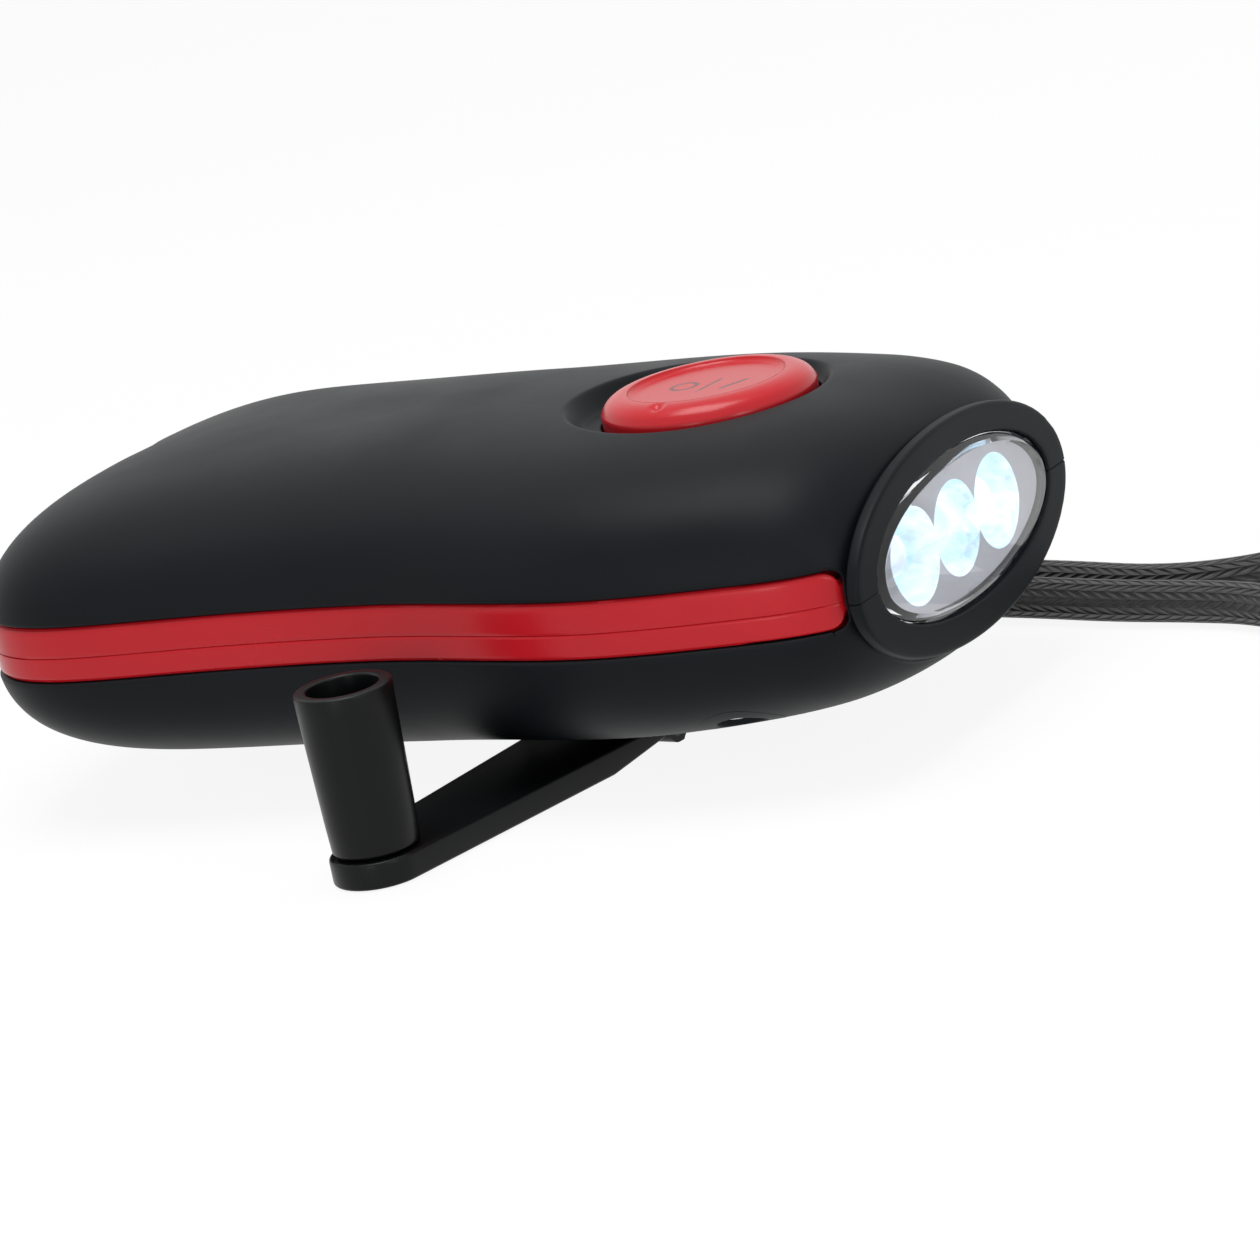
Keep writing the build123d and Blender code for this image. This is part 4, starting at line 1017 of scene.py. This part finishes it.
def arm_grids(root, reach, end_radius, root_half, thickness):
    """Crank arm: a slab between two outlines, tapered in plan and thinner towards its hinge, with
    rounded edges, and its knuckle, a rounded bar across."""
    rounding, taper, taper_length, knuckle_half = 0.35, 1.1, 7.75, 4.7
    quarter = np.linspace(0, pi / 2, 5)
    sides, tip = np.linspace(0, 1, 24), np.linspace(-pi / 2, pi / 2, 33)[1:-1]

    def outline(less):
        x_side = root + less + (reach - root - less) * sides
        y_side = (root_half + (end_radius - root_half) * (x_side - root) / (reach - root)) - less
        x = np.concatenate([x_side, reach + (end_radius - less) * np.cos(tip), x_side[::-1]])
        y = np.concatenate([-y_side, (end_radius - less) * np.sin(tip), y_side[::-1]])
        return x, y

    def underside(x):
        return np.clip(taper - taper * (x - root) / taper_length, 0, None)

    x, y = outline(rounding)
    rows = [np.stack([x, 0 * y, underside(x)], -1)]
    for turn in quarter:
        x, y = outline(rounding * (1 - np.sin(turn)))
        rows.append(np.stack([x, y, underside(x) + rounding * (1 - np.cos(turn))], -1))
    for turn in quarter[::-1]:
        x, y = outline(rounding * (1 - np.sin(turn)))
        rows.append(np.stack([x, y, thickness - rounding * (1 - np.cos(turn)) + 0 * x], -1))
    rows.append(np.stack([x, 0 * y, thickness + 0 * x], -1))
    slab = turned(np.array(rows), CRANK_ANGLE)
    round_x, round_z = arc(4.4, thickness / 2, thickness / 2, 90, 351, 28)
    profile_x = np.concatenate([[root + 0.3, root - 0.6], round_x, [root + 0.3]])
    profile_z = np.concatenate([[thickness, thickness], round_z, [taper]])
    point = (profile_x * 0 + 5.0, profile_z * 0 + 1.8)
    ends = [(*point, -knuckle_half), (profile_x, profile_z, -knuckle_half),
            (profile_x, profile_z, knuckle_half), (*point, knuckle_half)]
    knuckle = turned(np.array([np.stack([x, 0 * x + y, z], -1) for x, z, y in ends]), CRANK_ANGLE)
    middle = turned(np.array([24.0, 0.0, 1.3]), CRANK_ANGLE)
    hinge = turned(np.array([4.8, 0.0, 1.6]), CRANK_ANGLE)
    return [(slab, True, None, middle), (knuckle, True, None, hinge)]


# Cords.

def route_curve(name, route):
    """Curve object whose one open NURBS spline has the route's points as its control points."""
    curve = bpy.data.curves.new(name, "CURVE")
    curve.dimensions = "3D"
    spline = curve.splines.new("NURBS")
    spline.points.add(len(route) - 1)
    spline.points.foreach_set("co", np.array([(x * MM, y * MM, z * MM, 1.0) for x, y, z in route]).ravel())
    spline.order_u = 3
    spline.use_endpoint_u = True
    curve.resolution_u = 16
    return linked(name, curve)


def read_route(made):
    """Points along a curve that has no bevel, in metres, evenly spaced along it."""
    mesh = bpy.data.meshes.new_from_object(made.evaluated_get(bpy.context.evaluated_depsgraph_get()))
    points = np.zeros(len(mesh.vertices) * 3, np.float32)
    mesh.vertices.foreach_get("co", points)
    bpy.data.meshes.remove(mesh)
    return points.reshape(-1, 3).astype(float)


def level_tube(name, path, radius, spacing, flatten):
    """Tube along a level path: circle offsets sideways and upwards from points evenly spaced along
    it, a little flattened, closed at its ends, with UV of the share round and the metres along."""
    steps = np.append(0, np.cumsum(np.linalg.norm(np.diff(path, axis=0), axis=1)))
    even = np.linspace(0, steps[-1], int(steps[-1] / spacing) + 1)
    line = np.stack([np.interp(even, steps, path[:, axis]) for axis in range(3)], -1)
    for _ in range(6):
        line[1:-1] = (line[:-2] + 2 * line[1:-1] + line[2:]) / 4
    ahead = np.gradient(line, axis=0)
    ahead /= np.linalg.norm(ahead, axis=1)[:, None]
    side = np.stack([-ahead[:, 1], ahead[:, 0], 0 * even], -1)
    columns = 48
    turn = np.linspace(0, 2 * pi, columns, endpoint=False)
    points = line[:, None] + side[:, None] * (np.cos(turn) * radius)[None, :, None]
    points[..., 2] += np.sin(turn) * radius * flatten
    ends = [line[number] + 0 * points[:1] for number in (0, -1)]
    points = np.concatenate([ends[0], points, ends[1]])
    along = np.concatenate([even[:1], even, even[-1:]])
    quads = grid_faces(len(points), columns, True)[:, ::-1]
    mesh = bpy.data.meshes.new(name)
    mesh.from_pydata(points.reshape(-1, 3).tolist(), [], quads.tolist())
    column = quads % columns
    share = column / columns
    share[(column == 0) & (column.max(1) == columns - 1)[:, None]] = 1.0
    layer = mesh.uv_layers.new(name="UVMap")
    layer.data.foreach_set("uv", np.stack([share, along[quads // columns]], -1).astype(np.float32).ravel())
    mesh.shade_smooth()
    return linked(name, mesh), line


def coiled(name, wire, radius, low, high, turns, x):
    """Helix of round wire about a vertical axis: (r cos a, r sin a, rising evenly), with its circle
    carried along."""
    turn = np.linspace(0, 2 * pi * turns, int(32 * turns))
    height = low + wire + (high - low - 2 * wire) * turn / turn[-1]
    round_it = np.linspace(0, 2 * pi, 12, endpoint=False)
    out = radius - wire + wire * np.cos(round_it)
    points = np.stack([
        x + out * np.cos(turn)[:, None], out * np.sin(turn)[:, None],
        height[:, None] + wire * np.sin(round_it),
    ], -1)
    ends = [points[row].mean(0) + 0 * points[row] for row in (0, -1)]
    points = np.concatenate([ends[0][None], points, ends[1][None]])
    return build(name, [(points, True)], (x, 0, (low + high) / 2), 60.0)


# Sizes and colours.

def colour(name, description, default):
    """Colour property in linear RGB."""
    return bpy.props.FloatVectorProperty(
        name=name, description=description, subtype="COLOR", size=3, min=0.0, max=1.0, default=default,
    )


def length(name, description, default):
    """Length property."""
    return bpy.props.FloatProperty(
        name=name, description=description, unit="LENGTH", subtype="DISTANCE", min=0.0001, precision=5,
        default=default,
    )


def half_span(node, axis):
    """Half of a CAD node's size along an axis."""
    low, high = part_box(node)
    return (high[axis] - low[axis]) / 2


class TorchSizes(bpy.types.PropertyGroup):
    bezel_half_width: length("Bezel half width", "Half width of the ring round the lens", 0.0224)
    bezel_half_height: length("Bezel half height", "Half height of the ring round the lens", 0.0105)
    lens_half_width: length("Lens half width", "Half width of the clear window", half_span("lens", 1))
    lens_half_height: length("Lens half height", "Half height of the clear window", half_span("lens", 2))
    plate_half_width: length("Plate half width", "Half width of the plate behind the lens", 0.0170)
    plate_half_height: length("Plate half height", "Half height of the plate behind the lens", 0.00635)
    knob_reach: length("Knob reach", "Distance from the crank's axis to the knob's", 0.0413)
    strap_width: length("Strap width", "Diameter of the knitted strap", 0.0043)
    string_width: length("String width", "Diameter of the strap's string", 0.0009)


class TorchColours(bpy.types.PropertyGroup):
    rubber: colour("Rubber", "Skins and bezel", (0.0034, 0.0046, 0.006))
    red: colour("Red", "Band and shells", (0.43, 0.008, 0.014))
    button: colour("Button", "Push button", (0.47, 0.012, 0.018))
    knob: colour("Crank", "Knob, arm and hub", (0.002, 0.0024, 0.0028))
    plate: colour("Plate", "Plate round the lamp cups", (0.50, 0.50, 0.53))
    strap: colour("Strap", "Knitted strap", (0.009, 0.009, 0.009))


# Finishes by name, each made on first use.

def finish_makers(colours):
    """Name of each finish and how it is made."""
    def near(value, share):
        return tuple(min(1.0, channel * share) for channel in value)

    rubber, red, button, knob = colours.rubber, colours.red, colours.button, colours.knob
    return {
        # The lighter edge colour of the black rubber is a painted highlight on convex edges.
        "black_rubber": partial(
            moulded, colour=rubber, second=near(rubber, 1.3), roughness=0.42, spread=0.1, grain=3200.0,
            depth=0.00002, strength=0.18, edge=near(rubber, 1.6), specular=0.11,
        ),
        "red_plastic": partial(
            moulded, colour=red, second=near(red, 1.12), roughness=0.2, spread=0.08, grain=900.0,
            depth=0.00001, strength=0.06, specular=0.24,
        ),
        # The button's marks take a darker colour: painted shade in the sunk marks.
        "red_button": partial(
            moulded, colour=button, second=near(button, 1.1), roughness=0.22, spread=0.08, grain=1400.0,
            depth=0.00001, strength=0.1, specular=0.28, marks=(DISC_Z * MM, near(button, 0.24)),
        ),
        # The lighter edge colour of the black plastic is a painted highlight on convex edges.
        "black_plastic": partial(
            moulded, colour=knob, second=near(knob, 1.3), roughness=0.3, spread=0.08, grain=2400.0,
            depth=0.00001, strength=0.1, edge=near(knob, 2.0), specular=0.18,
        ),
        "dark_steel": partial(
            moulded, colour=(0.03, 0.03, 0.032), second=(0.05, 0.05, 0.052), roughness=0.35, spread=0.1,
            metallic=0.6,
        ),
        "pale_plate": partial(
            moulded, colour=colours.plate, second=near(colours.plate, 1.1), roughness=0.35, spread=0.1,
            grain=1800.0,
        ),
        # The cups glow with a painted reflection though they are no lamps; their pale blue second colour is
        # painted shading.
        "lamp_cup": partial(
            bright_cup, colour=(0.93, 0.97, 1.0), shade=(0.5, 0.68, 0.8), glow=0.4, metallic=0.55, facet=0.6,
        ),
        "lit_lamp": partial(
            bright_cup, colour=(0.95, 0.98, 1.0), shade=(0.6, 0.78, 0.92), glow=0.5, metallic=0.0, facet=0.15,
        ),
        "clear_lens": partial(clear_plastic, tint=(0.96, 0.97, 0.99), roughness=0.02),
        "board_green": partial(
            moulded, colour=(0.04, 0.2, 0.08), second=(0.03, 0.16, 0.06), roughness=0.4, spread=0.1,
            grain=700.0,
        ),
        "white_plastic": partial(
            moulded, colour=(0.78, 0.78, 0.74), second=(0.7, 0.7, 0.66), roughness=0.45, spread=0.1,
        ),
        # The pale edge colour of the steel is a painted highlight on convex edges.
        "steel": partial(
            moulded, colour=(0.58, 0.58, 0.6), second=(0.47, 0.47, 0.49), roughness=0.25, spread=0.15,
            grain=4000.0, edge=(0.75, 0.75, 0.76), metallic=1.0,
        ),
        "brass_contact": partial(
            moulded, colour=(0.72, 0.53, 0.24), second=(0.6, 0.42, 0.18), roughness=0.28, spread=0.15,
            metallic=1.0,
        ),
        "copper_wire": partial(twisted, colour=(0.55, 0.22, 0.09), second=(0.36, 0.13, 0.05)),
        "magnet_grey": partial(
            moulded, colour=(0.12, 0.12, 0.13), second=(0.08, 0.08, 0.09), roughness=0.4, spread=0.15,
            metallic=0.8,
        ),
        # The strap's gap colour is painted shade between the stitches.
        "black_cord": partial(knitted, colour=colours.strap, gap_shade_colour=near(colours.strap, 0.22)),
        "black_string": partial(twisted, colour=near(colours.strap, 1.2), second=near(colours.strap, 0.4)),
    }


def finish_named(name):
    """Finish of that name, which the frame's own plain materials don't have."""
    label = "finish_" + name
    return bpy.data.materials.get(label) or finish_makers(bpy.context.scene.torch_colours)[name](label)


CARRIED_FINISHES = {
    "board_green": ("lamp_board", "main_board"),
    "black_plastic": ("board_chips", "switch_body", "cell_holder", "crank_hub", "strap_clamp"),
    "white_plastic": ("switch_plunger", "drive_gear", "compound_gear", "rotor_pinion", "rotor_bridge"),
    "steel": ("cell_lower", "cell_middle", "cell_upper", "hub_screw", "gear_axle", "rotor_shaft",
              "gear_plate", "stator_yoke", "case_screws", "gear_plate_screws", "board_screws",
              "knob_screw", "strap_bar"),
    "dark_steel": ("hinge_pin",),
    "brass_contact": ("cell_contact",),
    "copper_wire": ("stator_coil",),
    "magnet_grey": ("rotor_magnet",),
}


# Operators.

class TORCH_OT_camera(bpy.types.Operator):
    """Camera at the photograph's angle, level with its framing"""
    bl_idname = "torch.camera"
    bl_label = "Camera"

    def execute(self, context):
        data = bpy.data.cameras.new("view")
        data.lens, data.sensor_width, data.clip_start, data.clip_end = 142.857, 36.0, 0.01, 50.0
        camera = linked("view", data)
        camera.matrix_world = Matrix((
            (0.8545, 0.0295, 0.5186, 0.25340), (0.4831, 0.3216, -0.8143, -0.39851),
            (-0.1908, 0.9464, 0.2606, 0.13731), (0, 0, 0, 1),
        ))
        context.scene.camera = camera
        return {"FINISHED"}


class TORCH_OT_strap(bpy.types.Operator):
    """Knitted wrist strap and the string that ties it to the torch"""
    bl_idname = "torch.strap"
    bl_label = "Wrist strap"

    def execute(self, context):
        sizes = context.scene.torch_sizes
        route = route_curve("strap_route", [(x, y, 2.15) for x, y in STRAP_ROUTE])
        path = read_route(route)
        bpy.data.curves.remove(route.data)
        strap, line = level_tube("strap", path, sizes.strap_width / 2, 0.0005, 0.97)
        dress(strap, "black_cord", "torch", "strap_cord")
        string = route_curve("string", STRING_ROUTE)
        string.data.bevel_depth = sizes.string_width / 2
        string.data.bevel_resolution = 4
        string.data.use_fill_caps = True
        dress(string, "black_cord", "torch", "strap_string", finish="black_string")
        return {"FINISHED"}


class TORCH_OT_skins(bpy.types.Operator):
    """Rubber skins of the roof and belly with the bezel ring"""
    bl_idname = "torch.skins"
    bl_label = "Rubber skins"

    def execute(self, context):
        sizes = context.scene.torch_sizes
        upper = skin(
            "upper_skin", True, BUTTON_X, hole=10.85, edge=BAND_TOP + BAND_GAP, rows=170, count=300,
            sizes=sizes, shaped=lambda cover: hollowed(cover, x=12.7, floor=13.4, foot=11.7, slope=1.25),
            keep=clear_of_lug, lips=[lug_hollow()],
            inside=([0, -0.07, -0.14, -0.2, -0.2], [0, -0.02, -0.09, -0.25, -3.0]),
        )
        dress(upper, "black_rubber", "torch", "upper_grip")
        pocket = (-41.3, 0, 5.4, 5.4)
        screw_holes = [(x, y, 2.4, 2.4) for x, y in ((-50, 15), (-50, -15), (22, 19.2), (22, -19.2))]
        lips = [lip(*pocket, upper=False, depth=14.5)]
        lips += [lip(*hole, upper=False, depth=7.5) for hole in screw_holes]
        lower = skin(
            "lower_skin", False, 0.0, hole=13.3, edge=BAND_BOTTOM + BAND_GAP, rows=150, count=300,
            sizes=sizes, shaped=lambda cover: cover, keep=clear_of_ovals([pocket, *screw_holes]), lips=lips,
            inside=([0, -0.11, -0.21, -0.28, -0.3, -0.3, -0.45, -4, -8.1, -8.3, -8.3],
                    [0, -0.02, -0.09, -0.19, -0.3, 14.7, 14.55, 14.55, 14.55, 14.35, 11.0]),
        )
        dress(lower, "black_rubber", "torch", "lower_grip")
        return {"FINISHED"}


class TORCH_OT_band(bpy.types.Operator):
    """Glossy red band in two halves, and the red shells behind it"""
    bl_idname = "torch.band"
    bl_label = "Red band"

    def execute(self, context):
        dress(band_half("band_upper", True, BAND_TOP), "red_plastic", "torch")
        dress(band_half("band_lower", False, BAND_BOTTOM), "red_plastic", "torch")
        for node in ("upper_shell", "lower_shell"):
            dress(necked_shell(node), "red_plastic", "torch", node)
        return {"FINISHED"}


class TORCH_OT_lamp_head(bpy.types.Operator):
    """Lens, plate with three cups, and three lamps"""
    bl_idname = "torch.lamp_head"
    bl_label = "Lamp head"

    def execute(self, context):
        sizes = context.scene.torch_sizes
        lens = lens_grid(sizes.lens_half_width / MM, sizes.lens_half_height / MM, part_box("lens")[1][0] / MM)
        centre = (PLATE_X - 0.4, 0, HEAD_Z)
        dress(build("window", [(lens, True)], centre, 20.0), "clear_lens", "torch", "lens")
        grids = plate_grids(sizes.plate_half_width / MM, sizes.plate_half_height / MM)
        plate = build("lamp_plate", grids[:3], (0, 0, HEAD_Z), 30.0)
        dress(plate, "pale_plate", "torch", "reflector")
        dress(build("lamp_cups", grids[3:], (90, 0, HEAD_Z), 30.0), "pale_plate", "torch", finish="lamp_cup")
        for name, y in (("left", LAMP_PITCH), ("centre", 0.0), ("right", -LAMP_PITCH)):
            lamp = build("bulb_" + name, [(lamp_grid(y), True)], (32, y, LAMP_Z), 40.0)
            dress(lamp, "lamp_clear", "torch", "lamp_" + name, finish="lit_lamp")
        return {"FINISHED"}


class TORCH_OT_button(bpy.types.Operator):
    """Push button and its spring"""
    bl_idname = "torch.button"
    bl_label = "Push button"

    def execute(self, context):
        cap = build("button_cap", [(button_grid(), True)], (BUTTON_X, 0, 30), 40.0)
        dress(cap, "red_plastic", "button", "button", finish="red_button")
        low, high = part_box("button_spring")
        spring = coiled(
            "return_spring", wire=0.25, radius=3.55, low=low[2] / MM, high=high[2] / MM, turns=5.0, x=BUTTON_X,
        )
        dress(spring, "steel", "torch", "button_spring")
        return {"FINISHED"}


class TORCH_OT_crank(bpy.types.Operator):
    """Folding arm and turning knob"""
    bl_idname = "torch.crank"
    bl_label = "Crank"

    def execute(self, context):
        reach = context.scene.torch_sizes.knob_reach / MM
        grids = arm_grids(root=6.15, reach=reach, end_radius=4.6, root_half=6.9, thickness=2.6)
        arm = build("arm", grids, (0, 0, 1.3), 40.0)
        dress(arm, "black_plastic", "arm", "crank_arm")
        low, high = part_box("knob")
        centre = turned(np.array([reach, 0.0, 5.0]), CRANK_ANGLE)
        knob = build("grip_knob", [(knob_grid(low[2] / MM, high[2] / MM, reach), True)], centre, 40.0)
        dress(knob, "black_plastic", "knob", "knob")
        return {"FINISHED"}


class TORCH_OT_carried(bpy.types.Operator):
    """Finishes of the CAD parts that stay as they are"""
    bl_idname = "torch.carried"
    bl_label = "Inner parts"

    def execute(self, context):
        for finish, nodes in CARRIED_FINISHES.items():
            for node in nodes:
                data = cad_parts[node].data
                data.materials.clear()
                data.materials.append(finish_named(finish))
        return {"FINISHED"}


class TORCH_OT_stage(bpy.types.Operator):
    """Pale floor, soft lights and white surroundings"""
    bl_idname = "torch.stage"
    bl_label = "Stage"

    def execute(self, context):
        corners = np.array([(-3, -3), (3, -3), (3, 3), (-3, 3)], float)
        mesh = bpy.data.meshes.new("floor")
        mesh.from_pydata(np.column_stack([corners, np.full(4, -0.0001)]).tolist(), [], [(0, 1, 2, 3)])
        floor = linked("floor", mesh)
        mesh.materials.append(pale_floor())
        for name, place, aim, size, energy in (
            ("overhead", (0.0, -0.06, 0.60), (0, 0, 0.02), 0.34, 2.6),
            ("front_left", (0.13, -0.74, 0.10), (0.01, -0.02, 0.02), 0.17, 0.55),
            ("right_strip", (0.72, -0.38, 0.26), (0, -0.02, 0.02), 0.20, 0.75),
        ):
            light = bpy.data.lights.new(name, "AREA")
            light.size, light.energy = size, energy
            lamp = linked(name, light)
            back = Vector(place) - Vector(aim)
            lamp.matrix_world = Matrix.Translation(place) @ back.to_track_quat("Z", "Y").to_matrix().to_4x4()
        context.scene.world = white_world(0.5)
        context.scene.view_settings.view_transform = "Standard"
        return {"FINISHED"}


def seen_directly(tree):
    """1 for camera, glossy and transmission rays."""
    path = tree.nodes.new("ShaderNodeLightPath")
    either = calculate(tree, "MAXIMUM", path.outputs["Is Camera Ray"], path.outputs["Is Glossy Ray"])
    return calculate(tree, "MAXIMUM", either, path.outputs["Is Transmission Ray"])


def pale_floor():
    """Near-white floor that shows mostly as plain white and keeps the shadow."""
    made = bpy.data.materials.new("pale_floor")
    made.use_nodes = True
    tree = made.node_tree
    shader = tree.nodes["Principled BSDF"]
    set_inputs(shader, {"Base Color": (0.93, 0.93, 0.93, 1.0), "Roughness": 0.9})
    glow = tree.nodes.new("ShaderNodeEmission")
    mix_surfaces(tree, calculate(tree, "MULTIPLY", seen_directly(tree), 0.9), shader, glow)
    return made


def white_world(level):
    """World that is white to look at and lights the scene at the given level."""
    world = bpy.data.worlds.new("surroundings")
    world.use_nodes = True
    tree = world.node_tree
    background = tree.nodes["Background"]
    background.inputs["Color"].default_value = (1.0, 1.0, 1.0, 1.0)
    strength = calculate(tree, "MULTIPLY_ADD", seen_directly(tree), 1.0 - level, level)
    tree.links.new(strength, background.inputs["Strength"])
    return world


class TORCH_PT_panel(bpy.types.Panel):
    """Sizes, colours and pieces of the torch"""
    bl_idname = "TORCH_PT_panel"
    bl_label = "Hand crank flashlight"
    bl_space_type = "VIEW_3D"
    bl_region_type = "UI"
    bl_category = "Torch"

    def draw(self, context):
        layout = self.layout
        for group in (context.scene.torch_sizes, context.scene.torch_colours):
            box = layout.box()
            for name in group.__annotations__:
                box.prop(group, name)
        for operator in OPERATORS:
            layout.operator(operator.bl_idname)


OPERATORS = (
    TORCH_OT_camera, TORCH_OT_strap, TORCH_OT_skins, TORCH_OT_band, TORCH_OT_lamp_head, TORCH_OT_button,
    TORCH_OT_crank, TORCH_OT_carried, TORCH_OT_stage,
)
CLASSES = (TorchSizes, TorchColours, *OPERATORS, TORCH_PT_panel)


def register():
    for item in CLASSES:
        bpy.utils.register_class(item)
    bpy.types.Scene.torch_sizes = bpy.props.PointerProperty(type=TorchSizes)
    bpy.types.Scene.torch_colours = bpy.props.PointerProperty(type=TorchColours)


def unregister():
    del bpy.types.Scene.torch_colours
    del bpy.types.Scene.torch_sizes
    for item in reversed(CLASSES):
        bpy.utils.unregister_class(item)


def main():
    register()
    bpy.ops.torch.camera()
    bpy.ops.torch.strap()
    bpy.ops.torch.skins()
    bpy.ops.torch.band()
    bpy.ops.torch.lamp_head()
    bpy.ops.torch.button()
    bpy.ops.torch.crank()
    bpy.ops.torch.carried()
    bpy.ops.torch.stage()


if __name__ == "__main__":
    main()
